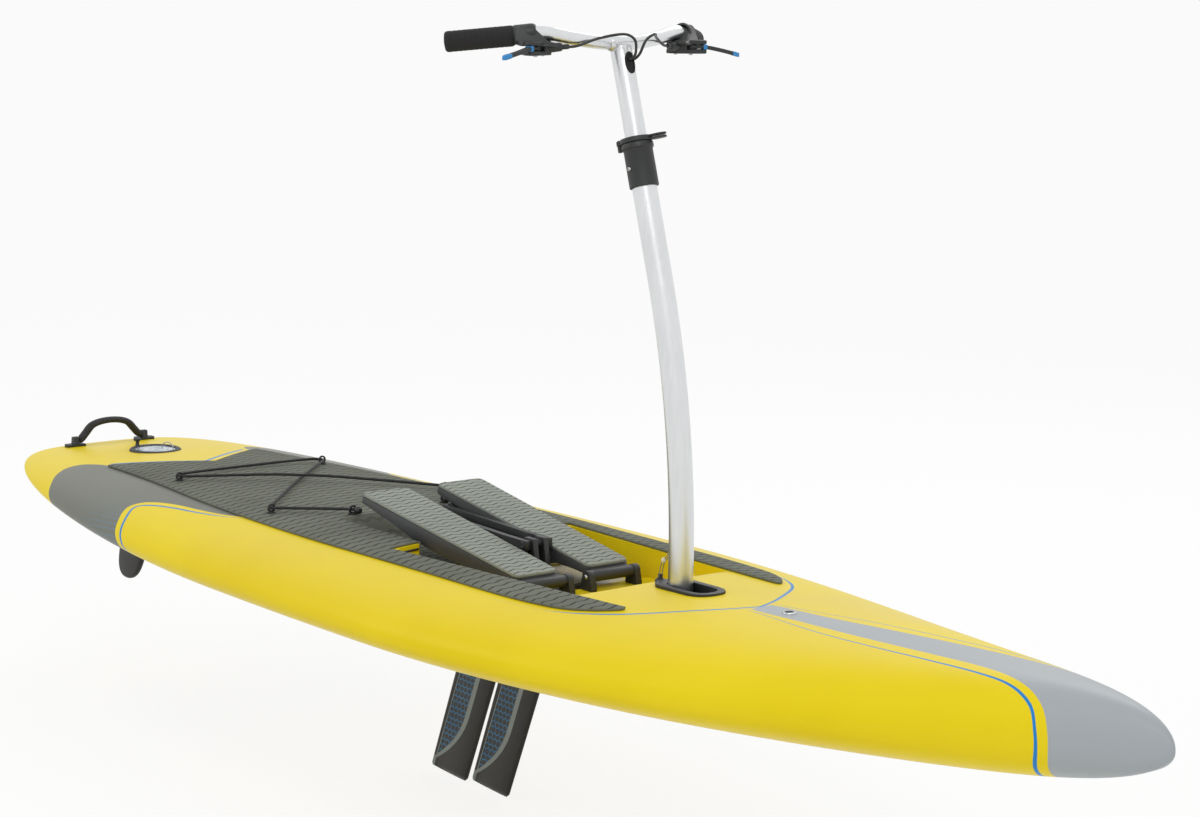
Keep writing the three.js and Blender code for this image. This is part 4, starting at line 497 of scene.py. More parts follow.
def smooth_path(points, steps):
    """A centripetal Catmull-Rom path through the points, with that many steps between each two."""
    points = [Vector(point) for point in points]
    padded = [2 * points[0] - points[1], *points, 2 * points[-1] - points[-2]]
    path = []
    for first, second, third, fourth in zip(padded, padded[1:], padded[2:], padded[3:]):
        knots = [0.0]
        for start, end in ((first, second), (second, third), (third, fourth)):
            knots.append(knots[-1] + max(1e-6, (end - start).length) ** 0.5)
        for step in range(steps):
            t = knots[1] + (knots[2] - knots[1]) * step / steps

            def between(a, b, low, high):
                return a.lerp(b, (t - knots[low]) / (knots[high] - knots[low]))
            one = between(first, second, 0, 1)
            two = between(second, third, 1, 2)
            three = between(third, fourth, 2, 3)
            path.append(between(between(one, two, 0, 2), between(two, three, 1, 3), 1, 2))
    return [*path, points[-1]]


def mm(points):
    """Points given in millimetres, in metres."""
    return [(first * MM, second * MM) for first, second in points]


def shade(bm, angle):
    for face in bm.faces:
        face.smooth = True
    for edge in bm.edges:
        edge.smooth = len(edge.link_faces) == 2 and edge.calc_face_angle(math.pi) < math.radians(angle)


def finished(name, bm, material, body, replaced=(), angle=38):
    """The bmesh as a piece in place, shaded smooth except over sharp edges."""
    bmesh.ops.remove_doubles(bm, verts=bm.verts, dist=1e-6)
    bmesh.ops.recalc_face_normals(bm, faces=bm.faces)
    shade(bm, angle)
    mesh = bpy.data.meshes.new(name)
    bm.to_mesh(mesh)
    bm.free()
    mesh.materials.append(material)
    piece = bpy.data.objects.new(name, mesh)
    scene.collection.objects.link(piece)
    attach(piece, body)
    if replaced:
        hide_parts(*replaced)
    return piece


def turned(profile, sides, place=(0, 0, 0), axis=(0, 0, 1)):
    """A turned shape: the profile is (radius, height) along the axis from the place."""
    bm = bmesh.new()
    line = [bm.verts.new((radius, 0, height)) for radius, height in profile]
    edges = [bm.edges.new(pair) for pair in zip(line, line[1:])]
    bmesh.ops.spin(bm, geom=line + edges, cent=(0, 0, 0), axis=(0, 0, 1), angle=2 * math.pi, steps=sides,
                   use_merge=True)
    bmesh.ops.remove_doubles(bm, verts=bm.verts, dist=1e-6)
    turn = UP.rotation_difference(Vector(axis)).to_matrix().to_4x4()
    bmesh.ops.transform(bm, matrix=Matrix.Translation(Vector(place)) @ turn, verts=bm.verts)
    return bm


def slab(outline, depth, bevel=0.0, segments=2):
    """A flat outline in X and Y raised by depth, with its edges rounded."""
    bm = bmesh.new()
    face = bm.faces.new([bm.verts.new((x, y, 0)) for x, y in outline])
    if face.normal.z > 0 or face.calc_area() == 0:
        face.normal_flip()
    grown = bmesh.ops.extrude_face_region(bm, geom=[face])
    raised = [item for item in grown["geom"] if isinstance(item, bmesh.types.BMVert)]
    bmesh.ops.translate(bm, verts=raised, vec=(0, 0, depth))
    bmesh.ops.recalc_face_normals(bm, faces=bm.faces)
    if bevel:
        rims = [edge for edge in bm.edges
                if len(edge.link_faces) == 2 and edge.calc_face_angle(0) > math.radians(60)
                and abs(edge.verts[0].co.z - edge.verts[1].co.z) < 1e-7]
        bmesh.ops.bevel(bm, geom=rims, offset=bevel, segments=segments, profile=0.5, affect="EDGES",
                        material=-1)
    return bm


def rounded(points, reach, steps=4):
    """The outline with each corner turned into an arc of the given reach."""
    points = [Vector(point) for point in points]
    outline = []
    for index, corner in enumerate(points):
        before, after = points[index - 1], points[(index + 1) % len(points)]
        limit = min(reach, (before - corner).length / 2.01, (after - corner).length / 2.01)
        start = corner + (before - corner).normalized() * limit
        end = corner + (after - corner).normalized() * limit
        for step in range(steps + 1):
            share = step / steps
            outline.append(start.lerp(corner, share).lerp(corner.lerp(end, share), share))
    return outline


def oval(half_x, half_y, sides, x=0.0, y=0.0):
    """An oval outline, with its centre at x and y."""
    return [(half_x * math.cos(turn) + x, half_y * math.sin(turn) + y)
            for turn in np.linspace(0, 2 * math.pi, sides + 1)[:-1]]


def rope(path, radius, sides=12, closed=False):
    """A round bar along a path, as a bmesh; closed, it is a ring."""
    data = bpy.data.curves.new("path", "CURVE")
    data.dimensions = "3D"
    data.bevel_depth = radius
    data.bevel_resolution = max(1, sides // 4 - 1)
    data.use_fill_caps = True
    data.twist_mode = "MINIMUM"
    spline = data.splines.new("POLY")
    spline.points.add(len(path) - 1)
    spline.use_cyclic_u = closed
    for index, point in enumerate(path):
        spline.points[index].co = (*point, 1)
    holder = bpy.data.objects.new("path", data)
    scene.collection.objects.link(holder)
    bpy.context.view_layer.update()
    mesh = bpy.data.meshes.new_from_object(holder.evaluated_get(bpy.context.evaluated_depsgraph_get()))
    bm = bmesh.new()
    bm.from_mesh(mesh)
    bpy.data.objects.remove(holder)
    bpy.data.curves.remove(data)
    bpy.data.meshes.remove(mesh)
    bmesh.ops.remove_doubles(bm, verts=bm.verts, dist=1e-6)
    return bm


def joined(*parts):
    """Several bmeshes as one."""
    whole = bmesh.new()
    for part in parts:
        mesh = bpy.data.meshes.new("part")
        part.to_mesh(mesh)
        part.free()
        whole.from_mesh(mesh)
        bpy.data.meshes.remove(mesh)
    return whole


def smoothing_group():
    """Geometry nodes that shade a carried-over solid smooth except over its sharp edges."""
    group = bpy.data.node_groups.new("shade_by_angle", "GeometryNodeTree")
    group.interface.new_socket("Geometry", in_out="INPUT", socket_type="NodeSocketGeometry")
    group.interface.new_socket("Geometry", in_out="OUTPUT", socket_type="NodeSocketGeometry")
    given = add(group, "NodeGroupInput")
    angle = add(group, "GeometryNodeInputMeshEdgeAngle")
    sharp = add(group, "FunctionNodeCompare", {0: angle.outputs[0], 1: math.radians(36)},
                data_type="FLOAT", operation="GREATER_THAN")
    faces = add(group, "GeometryNodeSetShadeSmooth", {0: given.outputs[0], "Shade Smooth": True},
                domain="FACE")
    edges = add(group, "GeometryNodeSetShadeSmooth",
                {0: faces.outputs[0], "Selection": sharp.outputs[0], "Shade Smooth": False}, domain="EDGE")
    add(group, "NodeGroupOutput", {0: edges.outputs[0]})
    return group


SMOOTHING = smoothing_group()


def carry(name, material, edge=0.6 * MM, segments=2):
    """Dresses a CAD solid: its finish, a small radius on its edges, and smooth round faces."""
    solid = nodes[name]
    solid.data.materials.clear()
    solid.data.materials.append(material)
    for polygon_slot in solid.material_slots:
        polygon_slot.material = material
    weld = solid.modifiers.new("weld", "WELD")
    weld.merge_threshold = 1e-5
    if edge:
        bevel = solid.modifiers.new("edge", "BEVEL")
        bevel.limit_method = "ANGLE"
        bevel.angle_limit = math.radians(38)
        bevel.width = edge
        bevel.segments = segments
        bevel.use_clamp_overlap = True
    smooth = solid.modifiers.new("shading", "NODES")
    smooth.node_group = SMOOTHING


# ---------------------------------------------------------------- hull surface

GAP = 0.3 * MM
BOW_X, BEAM_X, STERN_X = 1.130, -0.410, -2.070
MID_X, HALF_LENGTH = (BOW_X + STERN_X) / 2, (BOW_X - STERN_X) / 2
HALF_BEAM, NOSE_HALF, HULL_DEPTH = 0.441, 0.035, 0.160
FLAT_SHARE, RAIL_SHARE, SECTION_POWER, PANEL_SHARE = 0.32, 0.42, 2.25, 1.06


def hull_section(x):
    """Half width, bottom, widest line, deck and end rounding at a station."""
    bow = min(1, max(0, (x - BEAM_X) / (BOW_X - BEAM_X)))
    stern = min(1, max(0, (BEAM_X - x) / (BEAM_X - STERN_X)))
    bow_half = (HALF_BEAM - NOSE_HALF) * (1 - bow ** 2) ** 1.3 + NOSE_HALF * math.sqrt(1 - bow ** 12)
    stern_half = HALF_BEAM * (1 - stern ** 2) ** 0.269
    rise = [max(0, (share - FLAT_SHARE) / (1 - FLAT_SHARE)) ** 2 for share in (bow, stern)]
    bottom = 0.045 * rise[0] + 0.112 * rise[1]
    deck = HULL_DEPTH + 0.062 * bow ** 2.5 - 0.025 * stern ** 2.5
    middle = bottom + RAIL_SHARE * (deck - bottom)
    end_round = math.sqrt((1 - bow ** 9) * (1 - stern ** 13))
    return (bow_half if x > BEAM_X else stern_half), bottom, middle, deck, end_round


def deck_height(x, y):
    half, _, middle, deck, end_round = hull_section(x)
    share = max(0, 1 - (abs(y) / half) ** SECTION_POWER) ** (1 / SECTION_POWER) if half else 0
    return middle + (deck - middle) * end_round * share


def bottom_height(x):
    _, bottom, middle, _, end_round = hull_section(x)
    return middle - (middle - bottom) * end_round


def hull_point(x, angle):
    """A point of the shell: the angle goes round the section, 90 degrees on the deck's centreline."""
    half, bottom, middle, deck, end_round = hull_section(x)
    power = 2 / SECTION_POWER
    across = math.copysign(abs(math.cos(angle)) ** power, math.cos(angle))
    upward = math.copysign(abs(math.sin(angle)) ** power, math.sin(angle))
    reach = (deck - middle) * upward if upward > 0 else (middle - bottom) * max(-1, PANEL_SHARE * upward)
    return Vector((x, half * across, middle + reach * end_round))


def solid_object(bm):
    mesh = bpy.data.meshes.new("solid")
    bmesh.ops.recalc_face_normals(bm, faces=bm.faces)
    bm.to_mesh(mesh)
    bm.free()
    made = bpy.data.objects.new("solid", mesh)
    scene.collection.objects.link(made)
    return made


def combined(body, other, operation):
    """The body after a Boolean with the other solid, which is used up."""
    change = body.modifiers.new("change", "BOOLEAN")
    change.operation = operation
    change.object = other
    change.solver = "EXACT"
    bpy.context.view_layer.update()
    mesh = bpy.data.meshes.new_from_object(body.evaluated_get(bpy.context.evaluated_depsgraph_get()))
    body.modifiers.clear()
    old = body.data
    body.data = mesh
    bpy.data.meshes.remove(old)
    old = other.data
    bpy.data.objects.remove(other)
    bpy.data.meshes.remove(old)
    return body


def plan_solid(outline, low, high):
    bm = slab(outline, high - low)
    bmesh.ops.translate(bm, verts=bm.verts, vec=(0, 0, low))
    return solid_object(bm)


def side_slab(outline, low, high, bevel=0.0, segments=2):
    """An outline in X and Z, given width from low to high in Y."""
    bm = slab(outline, high - low, bevel, segments)
    turn = Matrix(((1, 0, 0, 0), (0, 0, -1, high), (0, 1, 0, 0), (0, 0, 0, 1)))
    bmesh.ops.transform(bm, matrix=turn, verts=bm.verts)
    return bm


def side_solid(outline, low, high):
    return solid_object(side_slab(outline, low, high))


def round_solid(x, y, low, high, radius, sides=64):
    return solid_object(turned([(0, low), (radius, low), (radius, high), (0, high)], sides, (x, y, 0)))


def block(x0, x1, y0, y1, z0, z1):
    return plan_solid([(x0, y0), (x1, y0), (x1, y1), (x0, y1)], z0, z1)


WELL_REAR, WELL_FRONT = -0.585, -0.060
WELL_REAR_HALF, WELL_FRONT_HALF = 0.212, 0.178
WELL_FLOOR, SHELF_X, SHELF_Z, RAMP_X = 0.088, -0.325, 0.098, -0.250
TROUGH_REAR, TROUGH_Z, TROUGH_HALF, TROUGH_RAMP = -0.800, 0.104, 0.152, 0.062
TROUGH_TOP = -0.852  # where the trough's rear slope comes out on the deck
SOCKET_REAR, SOCKET_FRONT, SOCKET_HALF, SOCKET_WALL, SOCKET_RIM = -0.032, 0.084, 0.027, 0.004, 0.009
SOCKET_FLOOR, SOCKET_SEAT = 0.095, 0.161
HATCH_X, HATCH_RADIUS, HATCH_BORE = -1.820, 0.058, 0.046
HATCH_SEAT = deck_height(HATCH_X, 0) - 5 * MM


def socket_plan(margin):
    rear, front, half = SOCKET_REAR - margin, SOCKET_FRONT + margin, SOCKET_HALF + margin
    return rounded([(rear, -half), (front, -half), (front, half), (rear, half)], half, 8)


def trough_solid(above):
    start, rear = WELL_REAR + 0.040, TROUGH_REAR - TROUGH_RAMP
    side = [(start, TROUGH_Z), (start, above), (rear, above), (rear, HULL_DEPTH + 0.010),
            (TROUGH_REAR, TROUGH_Z)]
    return side_solid(side, -TROUGH_HALF, TROUGH_HALF)


def loft(sides, rings):
    bm = bmesh.new()
    bmesh.ops.create_uvsphere(bm, u_segments=sides, v_segments=rings, radius=1)
    for vert in bm.verts:
        angle = math.atan2(vert.co.x, vert.co.y)
        vert.co = hull_point(MID_X + max(-1, min(1, vert.co.z)) * HALF_LENGTH, angle)
    return bm


# ---- the hull's printed edges, drawn on its skin opened flat: station, and distance from the deck's
# centreline round the section, both in metres

NOSE_EDGE = [
    (0.212, 0), (0.205, 0.020), (0.35, 0.030), (0.50, 0.039), (0.65, 0.044), (0.777, 0.046), (0.828, 0.050),
    (0.874, 0.059), (0.912, 0.072), (0.940, 0.090), (0.953, 0.114), (0.956, 0.145), (0.948, 0.185),
    (0.930, 0.26),
]
NOSE_LINE = [
    (0.205, 0.032), (0.30, 0.046), (0.42, 0.064), (0.55, 0.071), (0.70, 0.071), (0.79, 0.069),
    (0.850, 0.071), (0.893, 0.081), (0.921, 0.096), (0.934, 0.120), (0.938, 0.151), (0.927, 0.198),
    (0.908, 0.27),
]
COCKPIT_EDGE = [
    (0.212, 0), (0.192, 0.048), (0.154, 0.109), (0.108, 0.170), (0.072, 0.204), (0.030, 0.232),
    (-0.020, 0.256), (-0.080, 0.272), (-0.200, 0.285),
]
STERN_EDGE = [
    (-1.45, 0), (-1.60, 0.12), (-1.700, 0.178), (-1.745, 0.190), (-1.777, 0.210), (-1.783, 0.240),
    (-1.757, 0.284), (-1.702, 0.334), (-1.660, 0.372), (-1.632, 0.402), (-1.60, 0.46), (-1.57, 0.56),
    (-1.55, 0.80),
]
SIDE_EDGE = [
    (-0.90, 0.236), (-1.02, 0.252), (-1.10, 0.269), (-1.175, 0.277), (-1.249, 0.281), (-1.310, 0.292),
    (-1.347, 0.309), (-1.360, 0.333), (-1.350, 0.356), (-1.326, 0.384), (-1.300, 0.417), (-1.281, 0.442),
    (-1.264, 0.470), (-1.245, 0.53), (-1.22, 0.62), (-1.20, 0.85),
]
NOTCH_X, NOTCH_CORNER_X, NOTCH_CORNER_Y = -1.565, -1.700, 0.190


def signed_distance(points, edge, closing, smooth=True):
    """Distance of each point from the edge, positive inside what the edge and the closing points bound."""
    if smooth:
        edge = [tuple(point)[:2] for point in smooth_path([(x, s, 0) for x, s in edge], 8)]
    line = np.array(edge)
    nearest = np.full(len(points), 1e9)
    for start, end in zip(line, line[1:]):
        way = end - start
        share = np.clip(((points - start) @ way) / (way @ way), 0, 1)
        nearest = np.minimum(nearest, np.hypot(*(points - start - share[:, None] * way).T))
    ring = np.vstack([line, np.array(closing)])
    x, s = points.T
    inside = np.zeros(len(points), bool)
    for (x0, s0), (x1, s1) in zip(ring, np.roll(ring, -1, axis=0)):
        crosses = (s0 > s) != (s1 > s)
        inside ^= crosses & (x < (x1 - x0) * (s - s0) / (s1 - s0 if s1 != s0 else 1) + x0)
    return np.where(inside, nearest, -nearest)


def girths(coordinates):
    """Each point's distance from the deck's centreline, measured round the section."""
    stations = np.linspace(STERN_X, BOW_X, 241)
    angles = np.linspace(math.pi / 2, -math.pi / 2, 73)
    table = np.zeros((len(stations), len(angles)))
    for row, x in enumerate(stations):
        ring = np.array([hull_point(x, angle)[:] for angle in angles])
        table[row, 1:] = np.cumsum(np.linalg.norm(np.diff(ring, axis=0), axis=1))
    found = np.zeros(len(coordinates))
    for index, (x, y, z) in enumerate(coordinates):
        half, bottom, middle, deck, end_round = hull_section(x)
        if half < 1e-6:
            continue
        reach = ((deck - middle) if z > middle else (middle - bottom) * PANEL_SHARE) * end_round
        level = max(0, min(1, abs(y) / half)) ** (SECTION_POWER / 2)
        lift = min(1, abs(z - middle) / max(reach, 1e-6)) ** (SECTION_POWER / 2)
        angle = math.atan2(math.copysign(lift, z - middle), level)
        row = (x - STERN_X) / (BOW_X - STERN_X) * (len(stations) - 1)
        column = (math.pi / 2 - angle) / math.pi * (len(angles) - 1)
        r, c = min(int(row), len(stations) - 2), min(int(column), len(angles) - 2)
        u, v = row - r, column - c
        found[index] = ((table[r, c] * (1 - u) + table[r + 1, c] * u) * (1 - v)
                        + (table[r, c + 1] * (1 - u) + table[r + 1, c + 1] * u) * v)
    return found


def make_hull():
    body = solid_object(loft(128, 240))
    above = 0.22
    well_side = [
        (WELL_REAR, WELL_FLOOR), (WELL_REAR, above), (WELL_FRONT, above), (WELL_FRONT, HULL_DEPTH),
        (RAMP_X, SHELF_Z), (SHELF_X + 7 * MM, SHELF_Z), (SHELF_X, WELL_FLOOR),
    ]
    well = side_solid(well_side, -WELL_REAR_HALF, WELL_REAR_HALF)
    well_plan = [(WELL_REAR, -WELL_REAR_HALF), (WELL_FRONT, -WELL_FRONT_HALF),
                 (WELL_FRONT, WELL_FRONT_HALF), (WELL_REAR, WELL_REAR_HALF)]
    well = combined(well, plan_solid(rounded(well_plan, 0.026, 6), 0, above + 20 * MM), "INTERSECT")
    cutters = [
        well,
        trough_solid(above),
        block(-0.548, -0.309, -0.040, 0.040, -0.010, SHELF_Z + 5 * MM),
        block(-0.640, -0.309, -0.066, 0.066, -0.010, 0.030),
        plan_solid(socket_plan(SOCKET_WALL + GAP), SOCKET_FLOOR - SOCKET_WALL - GAP, above),
        plan_solid(socket_plan(SOCKET_WALL + SOCKET_RIM + GAP), SOCKET_SEAT, above),
        round_solid(HATCH_X, 0, 0.104, above, HATCH_BORE),
        round_solid(HATCH_X, 0, HATCH_SEAT, above, HATCH_RADIUS + GAP),
        round_solid(HATCH_X, 0, 0, above, 8 * MM + GAP, 24),
    ]
    for cutter in cutters:
        body = combined(body, cutter, "DIFFERENCE")
    bm = bmesh.new()
    bm.from_mesh(body.data)
    old = body.data
    bpy.data.objects.remove(body)
    bpy.data.meshes.remove(old)
    bmesh.ops.remove_doubles(bm, verts=bm.verts, dist=2e-5)
    bmesh.ops.dissolve_degenerate(bm, dist=1e-6, edges=bm.edges)
    piece = finished("hull_shell", bm, HULL_SHELL, "board", ["hull"], angle=32)

    mesh = piece.data
    coordinates = np.empty(len(mesh.vertices) * 3)
    mesh.vertices.foreach_get("co", coordinates)
    coordinates = coordinates.reshape(-1, 3)
    girth = girths(coordinates)
    skin = np.column_stack([coordinates[:, 0], girth])
    bow_end, stern_end, far = 2.0, -3.0, 1.5
    edges = {
        "nose_edge": signed_distance(skin, NOSE_EDGE, [(0.930, far), (bow_end, far), (bow_end, 0)]),
        "nose_line": signed_distance(skin, NOSE_LINE,
                                     [(0.908, far), (bow_end, far), (bow_end, 0), (0.205, 0)]),
        "cockpit_edge": signed_distance(skin, COCKPIT_EDGE, [(-0.3, 0.285), (-0.3, 0)]),
        "stern_edge": signed_distance(skin, STERN_EDGE, [(-1.55, far), (stern_end, far), (stern_end, 0)]),
        "side_edge": signed_distance(skin, SIDE_EDGE,
                                     [(-1.2, far), (bow_end, far), (bow_end, -1), (-0.9, -1)]),
        "notch_edge": signed_distance(skin, [(NOTCH_X, 0), (NOTCH_CORNER_X, NOTCH_CORNER_Y)],
                                      [(0, NOTCH_CORNER_Y), (0, 0)], smooth=False),
        "girth": girth,
    }
    for name, values in edges.items():
        layer = mesh.attributes.new(name, "FLOAT", "POINT")
        layer.data.foreach_set("value", values.astype(np.float32))
    return piece


make_hull()

# ---------------------------------------------------------------- deck foam

PAD_THICK = 5 * MM
PAD_SIDE = [
    (-1.460, 0.214), (-1.234, 0.242), (-0.984, 0.262), (-0.753, 0.270), (-0.537, 0.268), (-0.385, 0.266),
    (-0.186, 0.264), (-0.101, 0.258), (-0.026, 0.245), (0.024, 0.221), (0.050, 0.201),
]


def grid_cut(bm, step):
    """Cuts the mesh along X and along Y at even steps, so that it can follow a curved surface."""
    for axis in range(2):
        low = min(vert.co[axis] for vert in bm.verts)
        high = max(vert.co[axis] for vert in bm.verts)
        way = (1, 0, 0) if axis == 0 else (0, 1, 0)
        for index in range(math.ceil(low / step), math.floor(high / step) + 1):
            place = tuple(index * step * part for part in way)
            bmesh.ops.bisect_plane(bm, geom=bm.verts[:] + bm.edges[:] + bm.faces[:], dist=1e-6,
                                   plane_co=place, plane_no=way)


def make_deck_pad():
    side = smooth_path([(NOTCH_CORNER_X, -NOTCH_CORNER_Y, 0)] + [(x, -half, 0) for x, half in PAD_SIDE], 4)
    tip = [(0.060, -0.190), (0.064, -0.184), (0.060, -0.176)]
    lip = 5 * MM
    well = [(WELL_FRONT, -WELL_FRONT_HALF - lip), (WELL_REAR - lip, -WELL_REAR_HALF - lip),
            (WELL_REAR - lip, -TROUGH_HALF), (TROUGH_TOP - 1 * MM, -TROUGH_HALF)]
    half = [(NOTCH_X, 0)] + [tuple(point)[:2] for point in side] + tip + well
    outline = half + [(x, -y) for x, y in reversed(half[1:])]
    bm = slab(outline, PAD_THICK, bevel=2.2 * MM)
    grid_cut(bm, 0.030)
    for vert in bm.verts:
        vert.co.z += deck_height(vert.co.x, vert.co.y) + GAP
    bmesh.ops.triangulate(bm, faces=[face for face in bm.faces if len(face.verts) > 4])
    finished("deck_pad_foam", bm, EVA_DECK, "board", ["deck_pad"])


def make_trough_lining():
    """The deck's foam, laid down the slope behind the well and along the floor and sides of the trough."""
    thick = 2.4 * MM
    side = TROUGH_HALF - GAP
    rise = (TROUGH_REAR - TROUGH_TOP) / TROUGH_RAMP * (HULL_DEPTH + 10 * MM - TROUGH_Z)
    slope_top = (TROUGH_TOP, TROUGH_Z + rise + GAP)
    line = [(WELL_REAR + 1 * MM, TROUGH_Z + GAP), (TROUGH_REAR + GAP, TROUGH_Z + GAP), slope_top]
    floor = [*line, (slope_top[0] + 1 * MM, slope_top[1] + thick),
             (TROUGH_REAR + 1 * MM, TROUGH_Z + GAP + thick), (WELL_REAR + 1 * MM, TROUGH_Z + GAP + thick)]
    parts = [side_slab(floor, -side, side)]
    wall = [*line, (slope_top[0], HULL_DEPTH), (WELL_REAR + 1 * MM, HULL_DEPTH)]
    for hand in (-1, 1):
        low, high = sorted((hand * side, hand * (side - thick)))
        parts.append(side_slab(wall, low, high))
    finished("trough_lining", joined(*parts), EVA_DECK, "board")


make_deck_pad()
make_trough_lining()

# ---------------------------------------------------------------- pedals

HINGE = Vector((-0.291, 0, 0.124))
CRANK_X, CRANK_Y, CRANK_Z = -0.420, 33.1 * MM, 0.168
LATCH_X, LATCH_Y, LATCH_TOP = -0.528, 0.096, 0.1064
PEDAL_TILT = Matrix.Translation(HINGE) @ Matrix.Rotation(math.radians(9.3), 4, "Y")
SIDES = (("s", "starboard", -1), ("p", "port", 1))


def screw(radius, place, axis):
    """A pan head with a round recess, its foot at the place and its head along the axis."""
    height = radius * 0.75
    return turned([
        (0, height * 0.35), (radius * 0.42, height * 0.35), (radius * 0.46, height),
        (radius * 0.78, height * 0.9), (radius * 0.97, height * 0.5), (radius, 0), (0, 0),
    ], 20, place, axis)


def make_pedal_foam(letter, word, hand):
    front, rear = -17.5 * MM, -508.5 * MM
    inner, outer_front, outer_rear = 36.5 * MM, 133.5 * MM, 144.5 * MM
    outline = rounded([(front, hand * inner), (front, hand * outer_front), (rear, hand * outer_rear),
                       (rear, hand * inner)], 14 * MM, 5)
    bm = slab(outline, 6 * MM, bevel=1.4 * MM)
    bmesh.ops.translate(bm, verts=bm.verts, vec=(0, 0, 10.3 * MM))
    bmesh.ops.transform(bm, matrix=PEDAL_TILT, verts=bm.verts)
    finished(f"pedal_foam_{letter}", bm, EVA_PEDAL, f"pedal_{word}",
                       [f"pedal_pad_{letter}"])


for letter, word, hand in SIDES:
    make_pedal_foam(letter, word, hand)
    carry(f"pedal_{letter}", CHARCOAL_NYLON, 1.6 * MM, 3)
    carry(f"base_plate_{letter}", CREAM_ABS, 0.8 * MM)
    for part, edge in (("hinge_tube", 0.8), ("outer_bracket", 1.2), ("inner_bracket", 1.2),
                       ("crank_arm", 1.2), ("roller", 1.0), ("latch", 0.9)):
        carry(f"{part}_{letter}", BLACK_NYLON, edge * MM)
    heads = joined(
        screw(5 * MM, (HINGE.x, hand * 142.5 * MM, HINGE.z), (0, hand, 0)),
        screw(5 * MM, (HINGE.x, hand * 18.9 * MM, HINGE.z), (0, -hand, 0)),
    )
    finished(f"hinge_bolt_heads_{letter}", heads, STEEL, "board")
    # the crank's bolt has a flat cap, as the pedal swings close past it
    cap = mm([(0, 0.3), (3, 0.3), (3.4, 0.6), (6.6, 0.6), (7.4, 0), (0, 0)])
    finished(f"crank_bolt_cap_{letter}", turned(cap, 24, (CRANK_X, hand * CRANK_Y, CRANK_Z), (0, hand, 0)),
             BLACK_NYLON, "board")
    finished(f"latch_screw_{letter}", screw(5 * MM, (LATCH_X, hand * LATCH_Y, LATCH_TOP), UP), STEEL,
             "board")

carry("drive_spine", BLACK_NYLON, 1.2 * MM)

# ---------------------------------------------------------------- fins and rudder

FIN_LEAN = math.tan(math.radians(22))
FIN_ROOT_Z, FIN_TIP_Z = -4 * MM, -347 * MM
ROOT_CHORD, TIP_CHORD = 0.130, 0.122
FIN_X, FIN_STEP = -0.354, 0.135


def fin_front(index, z):
    """Station of a fin's leading edge at a height."""
    return FIN_X - FIN_STEP * index + z * FIN_LEAN


def make_fin(name, index):
    bm = bmesh.new()
    bmesh.ops.create_grid(bm, x_segments=40, y_segments=48, size=0.5)
    for vert in bm.verts:
        chord_share = (1 - math.cos(math.pi * (vert.co.x + 0.5))) / 2
        span = vert.co.y + 0.5
        span = span + 0.06 * math.sin(math.pi * span) * span  # closer rows towards the tip
        span = min(1, span)
        chord = ROOT_CHORD + (TIP_CHORD - ROOT_CHORD) * span
        corner = 8 * MM * max(0, (span - 0.6) / 0.4) * chord_share ** 1.3  # the tip's edge rises aft
        z = FIN_ROOT_Z + (FIN_TIP_Z + corner - FIN_ROOT_Z) * span
        end = max(0, (span - 0.975) / 0.025)
        curl = 1 - math.sqrt(max(0, 1 - end ** 2))
        front, rear = 6 * MM * curl, 4 * MM * curl
        x = fin_front(index, z) - front - chord_share * (chord - front - rear)
        foil = math.sin(math.pi * min(1, 0.14 + 0.9 * chord_share ** 0.62))
        edge = min(1, chord_share / 0.035, (1 - chord_share) / 0.02, (1 - span) / 0.02, span / 0.01)
        half = max(0.9 * MM, 7.5 * MM * foil * (1 - 0.12 * span)) * math.sqrt(max(0, edge))
        vert.co = (x, half, z)
    bmesh.ops.mirror(bm, geom=bm.verts[:] + bm.edges[:] + bm.faces[:], axis="Y", merge_dist=2e-5)
    bmesh.ops.remove_doubles(bm, verts=bm.verts, dist=2e-5)
    piece = finished(f"{name}_blade", bm, BLADE, f"{name}_body", [name], angle=60)
    chords = piece.data.attributes.new("chord", "FLOAT", "POINT")
    spans = piece.data.attributes.new("span", "FLOAT", "POINT")
    for vert in piece.data.vertices:
        chords.data[vert.index].value = fin_front(index, vert.co.z) - vert.co.x
        spans.data[vert.index].value = FIN_ROOT_Z - vert.co.z


for index, name in enumerate(("fin_front", "fin_rear")):
    make_fin(name, index)
    carry(f"fin_mast_{name[4:]}", STEEL, 0.6 * MM)

RUDDER_FRONT = HATCH_X + 26 * MM
RUDDER_TOP, RUDDER_TIP = bottom_height(RUDDER_FRONT) - 3 * MM, -0.177


def arc_through(start, pull, end):
    """Points on the curve from start to end that leans towards pull, without its first."""
    start, pull, end = (Vector(point) for point in (start, pull, end))
    steps = 8
    return [start.lerp(pull, step / steps).lerp(pull.lerp(end, step / steps), step / steps)
            for step in range(1, steps + 1)]


def make_rudder():
    rear = RUDDER_FRONT - 0.136
    swept = rear - 0.050
    corners = [
        ((rear, RUDDER_TOP), (rear - 0.038, -0.060), (swept, -0.130)),
        ((swept, -0.130), (swept - 0.006, RUDDER_TIP), (swept + 0.034, RUDDER_TIP)),
        ((swept + 0.034, RUDDER_TIP), (swept + 0.079, RUDDER_TIP - 0.001), (swept + 0.104, -0.120)),
        ((swept + 0.104, -0.120), (HATCH_X - 0.020, -0.040), (RUDDER_FRONT, RUDDER_TOP)),
    ]
    outline = [(rear, RUDDER_TOP)]
    for corner in corners:
        outline += [tuple(point) for point in arc_through(*corner)]
    bm = side_slab(outline, -6.5 * MM, 6.5 * MM, bevel=5.5 * MM, segments=4)
    finished("rudder_foil", bm, BLACK_COMPOSITE, "rudder", ["rudder_blade"], angle=50)


make_rudder()
carry("rudder_stock", STEEL, 0.5 * MM)

